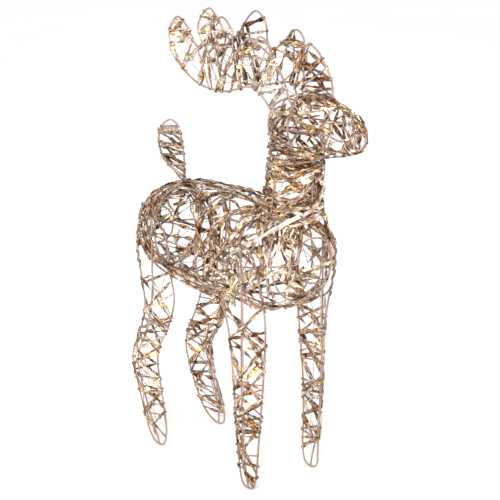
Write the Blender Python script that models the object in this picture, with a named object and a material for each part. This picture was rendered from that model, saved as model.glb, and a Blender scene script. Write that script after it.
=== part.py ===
"""A light-up garden reindeer: welded wire cages wound with flat ribbon, lit by a string of lamps inside.

The reindeer faces -Y, its left side is +X and it stands on Z = 0. Shapes are written as
(sideways, forward, height) in millimetres, with forward measured from midway between the feet.
"""
import math

import bmesh
import bpy
from mathutils import Quaternion, Vector

MM = 0.001

# Wire, ribbon and lamp sizes, in millimetres.
WIRE_RADIUS = 1.5
WIRE_SIDES = 5
RUNG_RADIUS = 1.2
STRINGER_RADIUS = 1.35
RIBBON_WIDTH = 6.0
RIBBON_THICKNESS = 0.6
LEG_RIBBON_GAP = 4.3
LEG_RIBBON_WIDTH = 4.6
LACING_GAP = 5.3
LACING_WIDTH = 3.4
CABLE_RADIUS = 0.9
CABLE_SIDES = 4
CABLE_TURN = 16.0
CABLE_PIECE = 40.0
LAMP_RADIUS = 2.2
LAMP_LENGTH = 8.0
LAMP_SIDES = 6
CLEARANCE = 0.35
TIE_RADIUS = 0.5
TIE_SIDES = 4
TIE_POINTS = 8
TIE_SLACK = 0.6
CROSSED_WIRES = 2.5

# How far the facets of each kind of wire are turned about it, so that no two crossing facets lie in one
# plane, and how far a lengthwise wire's facets lean.
LOOP_TWIST = 0.5 * math.pi
STRINGER_TWIST = 0.21
OUTER_TWIST = 0.23
BROW_TWIST = 0.27
RUNG_TWIST = 0.4
STRINGER_LEAN = 0.31
# Where a cage's ribbon starts, as an angle up from the left side.
WRAP_START = 0.3

# A foot's wire lies flat on the ground on one facet.
FOOT_HEIGHT = WIRE_RADIUS * math.cos(math.pi / WIRE_SIDES)

# How far forward of the middle of the feet the middle of the whole reindeer lies.
CENTRE_FORWARD = 36.5

# Stations of the body's cages: (forward, height, half width, half height).
TORSO_STATIONS = [
    (-200, 350, 32, 30),
    (-166, 355, 62, 61),
    (-110, 366, 74, 75),
    (-40, 366, 76, 82),
    (30, 366, 76, 82),
    (100, 368, 76, 80),
    (158, 378, 60, 62),
    (190, 384, 34, 34),
]
NECK_STATIONS = [
    (140, 452, 45, 44),
    (142, 495, 41, 41),
    (145, 542, 40, 41),
]
HEAD_STATIONS = [
    (105, 590, 14, 18),
    (120, 588, 33, 34),
    (152, 590, 41, 43),
    (196, 594, 41, 45),
    (236, 597, 32, 34),
    (268, 590, 24, 23),
    (285, 588, 12, 12),
]
# Each cage: (stations, squareness, hoops at these stations, pieces round a hoop, lengthwise wires,
# pieces along a wire).
CAGES = {
    "torso": (TORSO_STATIONS, 2.4, (0, 1, 2, 3.5, 5, 6, 7), 12, 4, 8),
    "neck": (NECK_STATIONS, 2.0, (0, 2), 12, 4, 2),
    "head": (HEAD_STATIONS, 2.3, (0, 1, 2.5, 4, 6), 10, 4, 6),
}
# Ribbons wound on the cages: (name, cage, first station, last station, turns).
CAGE_WRAPS = [
    ("rump_wrap", "torso", 0.15, 0.85, 2),
    ("hip_wrap", "torso", 2.16, 2.38, 2),
    ("belly_wrap", "torso", 2.75, 3.95, 4),
    ("shoulder_wrap", "torso", 4.6, 4.85, 2),
    ("chest_wrap", "torso", 6.15, 6.85, 2),
    ("neck_wrap", "neck", 0.45, 1.75, 4),
    ("skull_wrap", "head", 1.95, 2.3, 2),
    ("muzzle_wrap", "head", 3.2, 5.4, 4),
]
CAGE_WRAP_PROUD = 5.0
CAGE_WRAP_STEPS = 14

# Each leg is a loop of wire, from the top of its rear edge down round the foot and up its front edge
# to a bow that lies against the torso, with a third wire down its outer side. Sideways distances are
# for the left side and are mirrored for the right.
FRONT_LEG_LOOP = [
    (81, 44, 356), (77, 52, 316), (71, 66, 271), (69, 74, 223), (69, 80, 175), (69, 84, 125), (68, 88, 75),
    (66, 91, 32), (66, 97, 8), (66, 107, FOOT_HEIGHT), (66, 117, FOOT_HEIGHT), (66, 127, 9), (64, 130, 32),
    (61, 132, 86), (59, 137, 155), (58, 142, 230), (62, 147, 290), (74, 148, 345), (80, 142, 386),
    (83, 124, 403), (83, 98, 403), (83, 68, 386),
]
FRONT_LEG_OUTER = [
    (81, 112, 404), (81, 114, 320), (81, 114, 160), (80, 115, 105), (76, 114, 60), (69, 112, 20),
    (66, 112, 1.8),
]
REAR_LEG_LOOP_RIGHT = [
    (81, -146, 372), (75, -156, 331), (68, -159, 300), (67, -152, 262), (67, -149, 230), (67, -158, 203),
    (67, -172, 172), (67, -184, 142), (67, -179, 116), (67, -161, 65), (66, -147, 26), (66, -135, 8),
    (66, -123, FOOT_HEIGHT), (66, -112, FOOT_HEIGHT), (66, -102, 9), (64, -100, 30), (62, -108, 65),
    (61, -117, 100), (61, -125, 140), (61, -120, 170), (61, -100, 204), (61, -84, 240), (62, -78, 270),
    (72, -76, 320), (80, -73, 366), (81, -86, 392), (81, -110, 398), (81, -133, 391),
]
REAR_LEG_LOOP_LEFT = [
    (81, -146, 372), (75, -156, 331), (68, -162, 300), (67, -162, 262), (67, -170, 222), (67, -186, 184),
    (67, -204, 150), (67, -211, 118), (67, -202, 86), (67, -182, 45), (66, -162, 18), (66, -142, 5),
    (66, -128, FOOT_HEIGHT), (66, -118, FOOT_HEIGHT), (66, -108, 9), (64, -106, 28), (62, -117, 62),
    (61, -130, 98), (61, -139, 132), (61, -127, 160), (61, -104, 196), (61, -86, 236), (62, -78, 270),
    (72, -76, 320), (80, -73, 366), (81, -86, 392), (81, -110, 398), (81, -133, 391),
]
REAR_LEG_OUTER_RIGHT = [
    (81, -109, 398), (81, -110, 320), (80, -112, 270), (80, -126, 210), (80, -150, 160), (80, -152, 130),
    (79, -140, 95), (76, -128, 55), (69, -119, 18), (66, -118, 1.8),
]
REAR_LEG_OUTER_LEFT = [
    (81, -109, 398), (81, -110, 320), (80, -116, 270), (80, -136, 200), (80, -168, 150), (80, -172, 120),
    (79, -160, 88), (76, -142, 50), (69, -126, 16), (66, -123, 1.8),
]
# The left front leg steps a little further forward, by this much above this height.
FRONT_STEP_LEFT = 6.0
FRONT_STEP_HEIGHT = 120.0
FRONT_LEG_RUNGS = [60, 180]
REAR_LEG_RUNGS = [55, 215]
# How a leg's ribbon falls from wire to wire.
WRAP_TOP = 262
WRAP_FALL = 9.4
WRAP_CONTACTS = 25

# The flat outline of each antler, from its rear foot on the head, round its tines, to its front foot.
ANTLER_RIGHT = [
    (-27, 116, 612), (-34, 104, 630), (-38, 80, 640), (-37, 22, 622), (-35, -40, 622), (-34, -84, 640),
    (-33, -112, 668), (-32, -118, 698), (-32, -99, 719), (-32, -76, 708), (-34, -58, 688), (-34, -42, 680),
    (-34, -26, 692), (-34, -8, 722), (-34, 14, 735), (-34, 34, 720), (-36, 41, 694), (-38, 51, 685),
    (-42, 68, 702), (-45, 90, 715), (-45, 114, 709), (-43, 144, 691), (-41, 162, 666), (-39, 172, 642),
    (-33.7, 176, 622),
]
ANTLER_LEFT = [
    (27, 116, 612), (34, 104, 630), (38, 80, 636), (36, 22, 621), (35, -34, 618), (34, -86, 636),
    (33, -116, 664), (32, -127, 694), (32, -101, 724), (32, -78, 710), (33, -61, 690), (33, -44, 682),
    (34, -24, 700), (34, -4, 726), (34, 16, 736), (34, 36, 720), (36, 38, 692), (38, 50, 682), (42, 70, 698),
    (45, 93, 718), (45, 112, 704), (42, 110, 676), (38, 119, 650), (29.4, 124, 617),
]
# The extra front tine of each antler.
BROW_RIGHT = [(-45, 104, 712), (-44, 112, 722), (-44, 126, 719), (-43, 133, 708), (-43, 139, 694)]
BROW_LEFT = [
    (43, 110, 682), (44, 115, 694), (44, 126, 701), (43, 148, 691), (41, 169, 669), (39, 182, 648),
    (33.8, 189, 623),
]
TAIL_OUTLINE = [
    (0, -130, 443), (0, -152, 453), (0, -176, 465), (0, -190, 484), (0, -192, 507), (0, -178, 528),
    (0, -158, 537), (0, -140, 528), (0, -131, 504), (0, -126, 472),
]
# Where each flat ribbon passes round its outline, in turn: (forward, height).
ANTLER_STOPS_RIGHT = [
    (-118, 700), (-75, 707), (-113, 668), (-60, 690), (-80, 636), (-42, 680), (-44, 622), (14, 735),
    (16, 622), (51, 685), (62, 634), (100, 715), (84, 640),
]
ANTLER_STOPS_LEFT = [
    (-126, 698), (-77, 708), (-118, 670), (-61, 690), (-84, 636), (-44, 682), (-46, 619), (16, 736),
    (18, 621), (50, 682), (56, 630), (96, 718),
]
TAIL_STOPS = [(-180, 526), (-136, 520), (-192, 502), (-130, 495), (-188, 478), (-127, 470), (-166, 459)]

# The lamp string's route from its socket in the rump: down and up each leg, through the neck and head,
# along both antlers, back along the spine and round both flanks.
STRING_START = [(0, -136, 312), (-26, -130, 318), (-52, -122, 326), (-70, -117, 328), (-77.5, -114, 308)]
LEG_RUN_REAR_RIGHT = [
    (-77.5, -112, 285), (-77, -113, 262), (-77, -126, 210), (-77, -149, 160), (-76.5, -151, 130),
    (-75.5, -139, 95), (-72, -129, 62), (-67, -123, 42), (-67, -130, 62), (-69, -134, 92), (-70, -148, 132),
    (-70, -141, 165), (-70, -116, 208), (-67, -101, 258),
]
STRING_REAR_CROSSING = [
    (-58, -112, 284), (-40, -115, 301), (-20, -112, 308), (20, -108, 308), (52, -114, 326), (70, -117, 328),
    (77.5, -115, 308),
]
LEG_RUN_REAR_LEFT = [
    (77.5, -113, 285), (77, -118, 260), (77, -137, 200), (77, -167, 150), (76.5, -171, 120),
    (75.5, -158, 88), (72, -144, 58), (67, -132, 40), (67, -140, 60), (69, -152, 88), (70, -170, 122),
    (70, -158, 158), (70, -124, 200), (68, -104, 252),
]
STRING_BELLY = [
    (58, -112, 283), (40, -115, 301), (28, -84, 306), (24, -50, 300), (4, 0, 292), (-20, 50, 296), (-46, 84, 318),
    (-70, 113, 330), (-77.5, 114, 308),
]
LEG_RUN_FRONT = [
    (77.5, 114, 285), (77.5, 114, 240), (77.5, 114, 160), (76.5, 115, 105), (72.5, 114, 66), (67, 112, 40),
    (67, 104, 54), (69, 104, 76), (70, 105, 110), (70, 106, 160), (70, 106, 220), (68, 106, 262),
]
STRING_CHEST_CROSSING = [
    (-58, 114, 284), (-40, 118, 295), (-18, 118, 305), (18, 118, 308), (48, 117, 322), (70, 117, 330),
    (77.5, 119, 308),
]
STRING_NECK_FRONT = [
    (58, 118, 284), (40, 119, 296), (28, 126, 314), (24, 138, 334), (22, 150, 362), (18, 138, 400),
    (13, 128, 438), (10, 138, 460), (6, 156, 482), (2, 170, 515), (7, 182.5, 546), (8, 190, 562),
    (8, 204, 567), (8, 236, 580), (6, 260, 588), (0, 267, 602), (-5, 252, 616), (-12, 222, 626),
    (-15, 192, 628), (-17, 176, 634), (-28, 160, 647),
]
STRING_ANTLER_RIGHT = [
    (-41, 138, 664), (-41.5, 100, 674), (-39, 58, 670), (-36, 10, 664), (-34, -45, 656), (-33, -82, 666),
    (-32.5, -100, 686), (-32.5, -92, 700), (-33, -78, 690), (-34, -58, 650), (-35, -20, 636), (-37, 40, 638),
    (-38, 84, 650), (-36, 118, 646), (-24, 136, 640),
]
STRING_HEAD_CROSSING = [(-14, 140, 634), (-6, 137, 622), (6, 137, 622), (14, 140, 634), (24, 140, 641)]
STRING_ANTLER_LEFT = [
    (36, 122, 662), (40, 98, 672), (40, 74, 674), (37, 34, 662), (35, -10, 656), (34, -55, 654),
    (33, -86, 668), (32.5, -106, 692), (32.5, -98, 706), (32.5, -84, 694), (33, -66, 648), (35, -20, 634),
    (37, 36, 636), (37, 80, 648), (32, 108, 642), (20, 130, 636),
]
STRING_NECK_BACK = [
    (11, 131, 620), (8, 122, 592), (8, 116, 562), (6, 114, 540), (4, 114, 500), (-4, 114, 475),
    (-6, 112, 458), (-6, 107, 448), (-6, 99, 442.5), (-5, 88, 441.5),
]
STRING_SPINE = [
    (0, 66, 444.3), (0, 40, 445.0), (0, 0, 445.1), (0, -40, 444.9), (0, -80, 440), (-4, -112, 430),
]
STRING_FLANKS = [
    (-22, -148, 412), (-46, -156, 372), (-48, -152, 334), (-24, -164, 326), (14, -166, 330), (46, -150, 352),
    (62, -104, 372), (66, -50, 374), (66, 10, 372), (64, 70, 366), (50, 128, 362), (18, 164, 350),
    (-20, 160, 350), (-50, 132, 366), (-64, 70, 372), (-66, 10, 368), (-66, -50, 366),
]

# Where the string's lamps sit, each beside the nearest stretch of cable.
LAMP_PLACES = [
    (-77, -113, 256), (-75.5, -140, 98), (-70, -146, 150),
    (77, -150, 178), (70, -168, 124), (69, -112, 230),
    (-77.5, 114, 240), (-77.5, 114, 186), (-70, 106, 140),
    (77.5, 120, 214), (4, 0, 292),
    (22, 152, 362), (3, 166, 504), (6, 258, 587), (-13, 214, 626),
    (-38, 56, 670), (-32.5, -98, 684), (38.5, 50, 667), (32.5, -104, 690),
    (-4, 114, 478), (-48, -154, 350), (66, -20, 373),
]
LAMP_PROFILE = [(0.0, 0.7), (0.25, 1.0), (0.75, 0.9), (1.0, 0.3)]
ANTLER_LEVEL = 640
SOCKET_PROFILE = [(0, 1.2), (0.5, 3.0), (4, 4.6), (20, 4.6), (20, 2.8), (11, 2.8)]
SOCKET_SIDES = 12

# Ties hold the cable to the spine wire and to each leg, and each leg to the torso's side wire.
SPINE_TIES = [-24, 18]
LEG_TIE_HEIGHT = 236
LEG_CLIP_HEIGHT = {"front": 368.5, "rear": 364}

FRAME_COLOUR = (0.52, 0.36, 0.31)
RIBBON_COLOUR = (0.66, 0.47, 0.30)
CABLE_COLOUR = (0.80, 0.78, 0.74)
LAMP_COLOUR = (1.0, 0.86, 0.60)
TIE_COLOUR = (0.85, 0.83, 0.78)
SOCKET_COLOUR = (0.82, 0.80, 0.77)


def clear_scene():
    """Remove every object that the file already holds."""
    for old in list(bpy.data.objects):
        bpy.data.objects.remove(old, do_unlink=True)


def material(name, colour, roughness, metallic, transmission=0.0):
    """A plain Principled material in the piece's own colour."""
    made = bpy.data.materials.new(name)
    made.use_nodes = True
    shader = made.node_tree.nodes["Principled BSDF"]
    shader.inputs["Base Color"].default_value = (*colour, 1.0)
    shader.inputs["Roughness"].default_value = roughness
    shader.inputs["Metallic"].default_value = metallic
    shader.inputs["Transmission Weight"].default_value = transmission
    return made


def place(sideways, forward, height):
    """The point in metres for a place written as sideways, forward and height in millimetres."""
    return Vector((sideways, CENTRE_FORWARD - forward, height)) * MM


def mirrored(route, side):
    """The same route on the left side (side = 1) or on the right side (side = -1)."""
    return [(side * sideways, forward, height) for sideways, forward, height in route]


def stepped(route):
    """A front leg's route moved forward, in full above FRONT_STEP_HEIGHT and not at all at the foot."""
    return [(sideways, forward + FRONT_STEP_LEFT * min(height / FRONT_STEP_HEIGHT, 1.0), height)
            for sideways, forward, height in route]


def smooth(route, pieces=4, closed=False):
    """Points along a Catmull-Rom curve through a route, with the given pieces between its points."""
    knots = [place(*point) for point in route]
    count = len(knots)
    spans = count if closed else count - 1
    points = []
    for span in range(spans):
        before = knots[(span - 1) % count] if closed or span > 0 else knots[0] * 2 - knots[1]
        start = knots[span]
        end = knots[(span + 1) % count]
        last = count - 1
        after = knots[(span + 2) % count] if closed or span + 2 <= last else knots[last] * 2 - knots[last - 1]
        for piece in range(pieces):
            t = piece / pieces
            points.append(0.5 * (
                2 * start + (end - before) * t
                + (2 * before - 5 * start + 4 * end - after) * t * t
                + (3 * start - before - 3 * end + after) * t * t * t))
    if not closed:
        points.append(knots[-1])
    return points


def thin_out(points, turn_degrees, longest):
    """Leave out the points of a path where it runs nearly straight."""
    kept = [points[0]]
    for index in range(1, len(points) - 1):
        incoming = points[index] - kept[-1]
        outgoing = points[index + 1] - points[index]
        far = (points[index + 1] - kept[-1]).length > longest * MM
        if far or incoming.angle(outgoing, 0.0) > math.radians(turn_degrees):
            kept.append(points[index])
    kept.append(points[-1])
    return kept


def tangents(points, closed):
    """The direction of a path at each of its points."""
    count = len(points)
    directions = []
    for index in range(count):
        ahead = points[(index + 1) % count] if closed or index + 1 < count else points[index]
        behind = points[index - 1] if closed or index > 0 else points[index]
        directions.append((ahead - behind).normalized())
    return directions


def add_tube(mesh, points, radius, sides, closed=False, twist=0.0, guide=None):
    """Add a round wire along a path. Its corners keep their place round the wire from the guide, a
    direction across the whole wire, or without one each ring turns as little as it can."""
    rings = []
    across = guide if guide else Vector((1, 0, 0))
    for point, along in zip(points, tangents(points, closed)):
        if guide:
            across = guide
        across = across - along * across.dot(along)
        across = across.normalized()
        other = along.cross(across)
        ring = []
        for side in range(sides):
            angle = 2 * math.pi * side / sides + twist
            ring.append(mesh.verts.new(point + (across * math.cos(angle) + other * math.sin(angle)) * radius))
        rings.append(ring)
    pairs = list(zip(rings, rings[1:]))
    if closed:
        pairs.append((rings[-1], rings[0]))
    for first, second in pairs:
        for side in range(sides):
            after = (side + 1) % sides
            mesh.faces.new((first[side], first[after], second[after], second[side]))
    if not closed:
        mesh.faces.new(tuple(reversed(rings[0])))
        mesh.faces.new(tuple(rings[-1]))


def finish_object(name, mesh, finish):
    """Turn a bmesh into a smooth shaded object with its material."""
    bmesh.ops.recalc_face_normals(mesh, faces=mesh.faces)
    data = bpy.data.meshes.new(name)
    mesh.to_mesh(data)
    mesh.free()
    data.materials.append(finish)
    data.shade_smooth()
    made = bpy.data.objects.new(name, data)
    bpy.context.scene.collection.objects.link(made)
    return made


def wire_object(name, points, finish, radius=WIRE_RADIUS, closed=False, twist=0.0, guide=Vector((1, 0, 0))):
    """One wire as an object of its own."""
    mesh = bmesh.new()
    add_tube(mesh, points, radius * MM, WIRE_SIDES, closed, twist, guide)
    return finish_object(name, mesh, finish)


def weld(name, wires):
    """Join crossing wires into one closed body, as the welds of the real frame do."""
    frame = wires[0]
    frame.name = name
    others = bpy.data.collections.new(name + "_wires")
    bpy.context.scene.collection.children.link(others)
    for wire in wires[1:]:
        bpy.context.scene.collection.objects.unlink(wire)
        others.objects.link(wire)
        wire.hide_render = True
        wire.display_type = "WIRE"
    join = frame.modifiers.new("welds", "BOOLEAN")
    join.operation = "UNION"
    join.operand_type = "COLLECTION"
    join.collection = others
    join.solver = "EXACT"
    return frame


def rounded(angle, half_width, half_height, power):
    """A point on a rounded square, from an ellipse (power 2) towards a rectangle (high power)."""
    cosine = math.cos(angle)
    sine = math.sin(angle)
    reach = (abs(cosine) ** power + abs(sine) ** power) ** (-1.0 / power)
    return half_width * cosine * reach, half_height * sine * reach


class Cage:
    """A tube-like cage round a centre line in the middle plane, with hoops and lengthwise wires."""

    def __init__(self, stations, power):
        self.stations = stations
        self.power = power
        self.last = len(stations) - 1

    def centre(self, place_along):
        """Forward, height, half width and half height at a number between 0 and the last station."""
        place_along = min(max(place_along, 0.0), self.last)
        index = min(int(place_along), self.last - 1)
        t = place_along - index
        rows = [self.stations[min(max(index + step, 0), self.last)] for step in (-1, 0, 1, 2)]
        values = []
        for before, start, end, after in zip(*rows):
            values.append(0.5 * (
                2 * start + (end - before) * t
                + (2 * before - 5 * start + 4 * end - after) * t * t
                + (3 * start - before - 3 * end + after) * t * t * t))
        return values

    def across(self, place_along):
        """The direction of the cage's height, square to its centre line."""
        step = 0.05
        ahead = self.centre(place_along + step)
        behind = self.centre(place_along - step)
        slope = Vector((0, behind[0] - ahead[0], ahead[1] - behind[1])).normalized()
        up = Vector((0, slope.z, -slope.y))
        return up if up.z > 0 or abs(up.z) < 0.5 and up.y > 0 else -up

    def point(self, place_along, angle, proud=0.0):
        """A point of the cage's surface, standing proud by some millimetres."""
        forward, height, half_width, half_height = self.centre(place_along)
        x, y = rounded(angle, half_width + proud, half_height + proud, self.power)
        return place(x, forward, height) + self.across(place_along) * y * MM

    def hoop(self, station, pieces):
        """The closed ring of wire at a station."""
        return [self.point(station, 2 * math.pi * piece / pieces) for piece in range(pieces)]

    def stringer(self, angle, start, end, pieces):
        """A lengthwise wire at an angle round the cage."""
        return [self.point(start + (end - start) * piece / pieces, angle) for piece in range(pieces + 1)]

    def nearest_top(self, forward):
        """The point of the top wire at a forward distance."""
        steps = [self.last * step / 400 for step in range(401)]
        along = min(steps, key=lambda step: abs(self.centre(step)[0] - forward))
        return self.point(along, 0.5 * math.pi)

    def beside(self, spot, pieces):
        """The point of the side wire, made of straight pieces, that lies level with a spot."""
        wire = self.stringer(0.0 if spot.x > 0 else math.pi, 0, self.last, pieces)
        for first, second in zip(wire, wire[1:]):
            if second.y <= spot.y <= first.y:
                return first.lerp(second, (spot.y - first.y) / (second.y - first.y))
        return wire[-1]

    def winding(self, start, end, turns, proud, steps_per_turn):
        """The path of a ribbon wound round the cage, with its outward directions."""
        count = int(turns * steps_per_turn)
        points = []
        normals = []
        for step in range(count + 1):
            along = start + (end - start) * step / count
            angle = WRAP_START + 2 * math.pi * turns * step / count
            here = self.point(along, angle, proud)
            before = self.point(along, angle - 0.05, proud)
            after = self.point(along, angle + 0.05, proud)
            lengthwise = self.point(min(along + 0.1, self.last), angle, proud)
            lengthwise = lengthwise - self.point(max(along - 0.1, 0.0), angle, proud)
            outward = lengthwise.cross(after - before).normalized()
            forward, height = self.centre(along)[:2]
            if outward.dot(here - place(0, forward, height)) < 0:
                outward = -outward
            points.append(here)
            normals.append(outward)
        return points, normals


def build_cage(name, cage, hoops, hoop_pieces, stringers, stringer_pieces, finish):
    """Weld a cage from its hoops and its lengthwise wires, the first of them along its top."""
    wires = []
    for station in hoops:
        path = cage.hoop(station, hoop_pieces)
        guide = (path[0] - path[len(path) // 2]).cross(path[len(path) // 4] - path[3 * len(path) // 4])
        wires.append(wire_object(f"{name}_hoop_{station}", path, finish, closed=True, guide=guide))
    for index in range(stringers):
        angle = 2 * math.pi * index / stringers + 0.5 * math.pi
        path = cage.stringer(angle, 0, cage.last, stringer_pieces)
        guide = Vector((math.sin(angle), STRINGER_LEAN, math.cos(angle)))
        wires.append(wire_object(f"{name}_stringer_{index}", path, finish, STRINGER_RADIUS,
                                 twist=STRINGER_TWIST, guide=guide))
    return weld(name, wires)


def ribbon_solid(name, points, normals, finish, width=RIBBON_WIDTH):
    """A flat ribbon as one closed solid that follows a path, its face turned along the normals."""
    mesh = bmesh.new()
    rings = []
    for point, along, outward in zip(points, tangents(points, False), normals):
        side = along.cross(outward).normalized()
        outward = side.cross(along).normalized()
        wide = side * width * MM / 2
        thick = outward * RIBBON_THICKNESS * MM / 2
        corners = (point + wide + thick, point - wide + thick, point - wide - thick, point + wide - thick)
        rings.append([mesh.verts.new(corner) for corner in corners])
    for first, second in zip(rings, rings[1:]):
        for side in range(4):
            after = (side + 1) % 4
            mesh.faces.new((first[side], first[after], second[after], second[side]))
    mesh.faces.new(tuple(reversed(rings[0])))
    mesh.faces.new(tuple(rings[-1]))
    return finish_object(name, mesh, finish)


def round_wire(centre, first, last, distance, steps):
    """Points that pass round a wire, from one outward direction to another."""
    points = []
    normals = []
    turn = first.angle(last)
    axis = first.cross(last)
    axis = axis.normalized() if axis.length > 1e-6 else None
    for step in range(steps + 1):
        part = step / steps
        if axis is None:
            direction = first
        else:
            direction = Quaternion(axis, turn * part) @ first
        points.append(centre + direction * distance * MM)
        normals.append(direction)
    return points, normals


def wound_round(wires, heights):
    """The path of a ribbon that runs straight from wire to wire round a leg, as height falls."""
    points = []
    normals = []
    count = len(wires)
    for turn, height in enumerate(heights):
        index = turn % count
        here = at_height(wires[index], height)
        before = at_height(wires[index - 1], height)
        after = at_height(wires[(index + 1) % count], height)
        middle = (at_height(wires[0], height) + at_height(wires[1], height) + at_height(wires[2], height)) / 3
        incoming = outward_of(before, here, middle)
        outgoing = outward_of(here, after, middle)
        more_points, more_normals = round_wire(here, incoming, outgoing, LEG_RIBBON_GAP, 2)
        points += more_points
        normals += more_normals
    return points, normals


def outward_of(first, second, middle):
    """The level direction that faces away from the middle, square to the line between two wires."""
    run = second - first
    outward = Vector((run.y, -run.x, 0)).normalized()
    if outward.dot(first - middle) < 0:
        outward = -outward
    return outward


def at_height(points, height):
    """The place where a wire that falls or rises steadily passes a height in millimetres."""
    level = height * MM
    for first, second in zip(points, points[1:]):
        if (first.z - level) * (second.z - level) <= 0 and first.z != second.z:
            return first.lerp(second, (level - first.z) / (second.z - first.z))
    return points[0] if abs(points[0].z - level) < abs(points[-1].z - level) else points[-1]


def nearest(outline, forward, height):
    """The point of an antler's or the tail's outline that lies nearest to a place in its plane."""
    wanted = place(0, forward, height)
    return min(outline, key=lambda point: (point.y - wanted.y) ** 2 + (point.z - wanted.z) ** 2)


def laced(outline, stops):
    """The path of a ribbon laced to and fro across a flat outline, round its wire at each stop."""
    held = [nearest(outline, forward, height) for forward, height in stops]
    points = []
    normals = []
    face = 1.0
    for index, here in enumerate(held):
        travel = here - held[index - 1] if index > 0 else held[0] - held[1]
        onward = held[index + 1] - here if index + 1 < len(held) else held[index] - held[index - 1]
        outward = travel.normalized() - onward.normalized()
        outward.x = 0
        outward.normalize()
        near = Vector((face, 0, 0))
        for turn in (20, 90, 160):
            angle = math.radians(turn)
            direction = near * math.cos(angle) + outward * math.sin(angle)
            points.append(here + direction * LACING_GAP * MM)
            normals.append(direction)
        face = -face
    return points, normals


def turned(name, profile, sides, base, axis, finish):
    """A round piece: its profile is a list of (distance along the axis, radius) in millimetres."""
    mesh = bmesh.new()
    across = axis.orthogonal().normalized()
    other = axis.cross(across)
    rings = []
    for along, radius in profile:
        ring = []
        for side in range(sides):
            angle = 2 * math.pi * side / sides
            out = (across * math.cos(angle) + other * math.sin(angle)) * radius
            ring.append(mesh.verts.new(base + (axis * along + out) * MM))
        rings.append(ring)
    for first, second in zip(rings, rings[1:]):
        for side in range(sides):
            after = (side + 1) % sides
            mesh.faces.new((first[side], first[after], second[after], second[side]))
    mesh.faces.new(tuple(reversed(rings[0])))
    mesh.faces.new(tuple(rings[-1]))
    return finish_object(name, mesh, finish)


def build_leg(name, loop_route, outer_route, rung_heights, side, finishes):
    """One leg: its frame of wire and the ribbon wound round it. Returns the wire of its outer side."""
    loop = smooth(mirrored(loop_route, side), 2, closed=True)
    for point in loop:
        point.z = max(point.z, FOOT_HEIGHT * MM)
    outer = smooth(mirrored(outer_route, side), 2)
    foot = min(range(len(loop)), key=lambda index: loop[index].z)
    top = max(range(len(loop)), key=lambda index: loop[index].z)
    rear = loop[:foot]
    front = loop[foot + 1:top + 1]
    wires = [wire_object(name + "_loop", loop, finishes["frame"], closed=True, twist=LOOP_TWIST)]
    wires.append(wire_object(name + "_outer", outer, finishes["frame"], twist=OUTER_TWIST))
    for height in rung_heights:
        corners = [at_height(wire, height) for wire in (rear, outer, front)]
        for number, (first, second) in enumerate(zip(corners, corners[1:]), 1):
            wires.append(wire_object(f"{name}_rung_{height}_{number}", [first, second], finishes["frame"],
                                     radius=RUNG_RADIUS, twist=RUNG_TWIST, guide=Vector((0, 0, 1))))
    weld(name + "_frame", wires)
    heights = [WRAP_TOP - step * WRAP_FALL for step in range(WRAP_CONTACTS)]
    points, normals = wound_round([rear, outer, front], heights)
    ribbon_solid(name + "_wrap", points, normals, finishes["ribbon"], LEG_RIBBON_WIDTH)
    return outer


def build_antler(name, outline_route, brow_route, stops, finishes):
    """One antler: its outline with a brow tine welded on, and the ribbon laced across it."""
    outline = smooth(outline_route, 2)
    brow = smooth(brow_route, 2)
    wires = [wire_object(name + "_outline", outline, finishes["frame"])]
    wires.append(wire_object(name + "_brow", brow, finishes["frame"], twist=BROW_TWIST))
    weld(name + "_frame", wires)
    points, normals = laced(outline, stops)
    ribbon_solid(name + "_wrap", points, normals, finishes["ribbon"], LACING_WIDTH)


def string_path():
    """The lamp string's whole route as a smooth path."""
    route = STRING_START + LEG_RUN_REAR_RIGHT + STRING_REAR_CROSSING + LEG_RUN_REAR_LEFT
    route += STRING_BELLY + mirrored(LEG_RUN_FRONT, -1) + STRING_CHEST_CROSSING + stepped(LEG_RUN_FRONT)
    route += STRING_NECK_FRONT + STRING_ANTLER_RIGHT + STRING_HEAD_CROSSING + STRING_ANTLER_LEFT
    route += STRING_NECK_BACK + STRING_SPINE + STRING_FLANKS
    return smooth(route, 5)


def build_string(finishes):
    """The lamp string's cable, its lamps and its socket. Returns the cable's path."""
    path = string_path()
    mesh = bmesh.new()
    add_tube(mesh, thin_out(path, CABLE_TURN, CABLE_PIECE), CABLE_RADIUS * MM, CABLE_SIDES)
    finish_object("lamp_string_cable", mesh, finishes["cable"])
    directions = tangents(path, False)
    profile = [(LAMP_LENGTH * part, LAMP_RADIUS * wide) for part, wide in LAMP_PROFILE]
    for number, lamp_place in enumerate(LAMP_PLACES, 1):
        wanted = place(*lamp_place)
        index = min(range(len(path)), key=lambda spot: (path[spot] - wanted).length)
        along = directions[index]
        if lamp_place[2] > ANTLER_LEVEL:
            aside = along.cross(Vector((1, 0, 0)))
        else:
            inward = -1.0 if path[index].x > 0 else 1.0
            aside = (Vector((1, 0, 0)) - along * along.x) * inward
        aside.normalize()
        offset = (CABLE_RADIUS + LAMP_RADIUS + CLEARANCE) * MM
        base = path[index] + aside * offset - along * LAMP_LENGTH * MM / 2
        turned(f"lamp_{number:02d}", profile, LAMP_SIDES, base, along, finishes["lamp"])
    back = -directions[0]
    base = path[0] + back * CLEARANCE * MM
    turned("lead_socket", SOCKET_PROFILE, SOCKET_SIDES, base, back, finishes["socket"])
    return path


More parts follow.
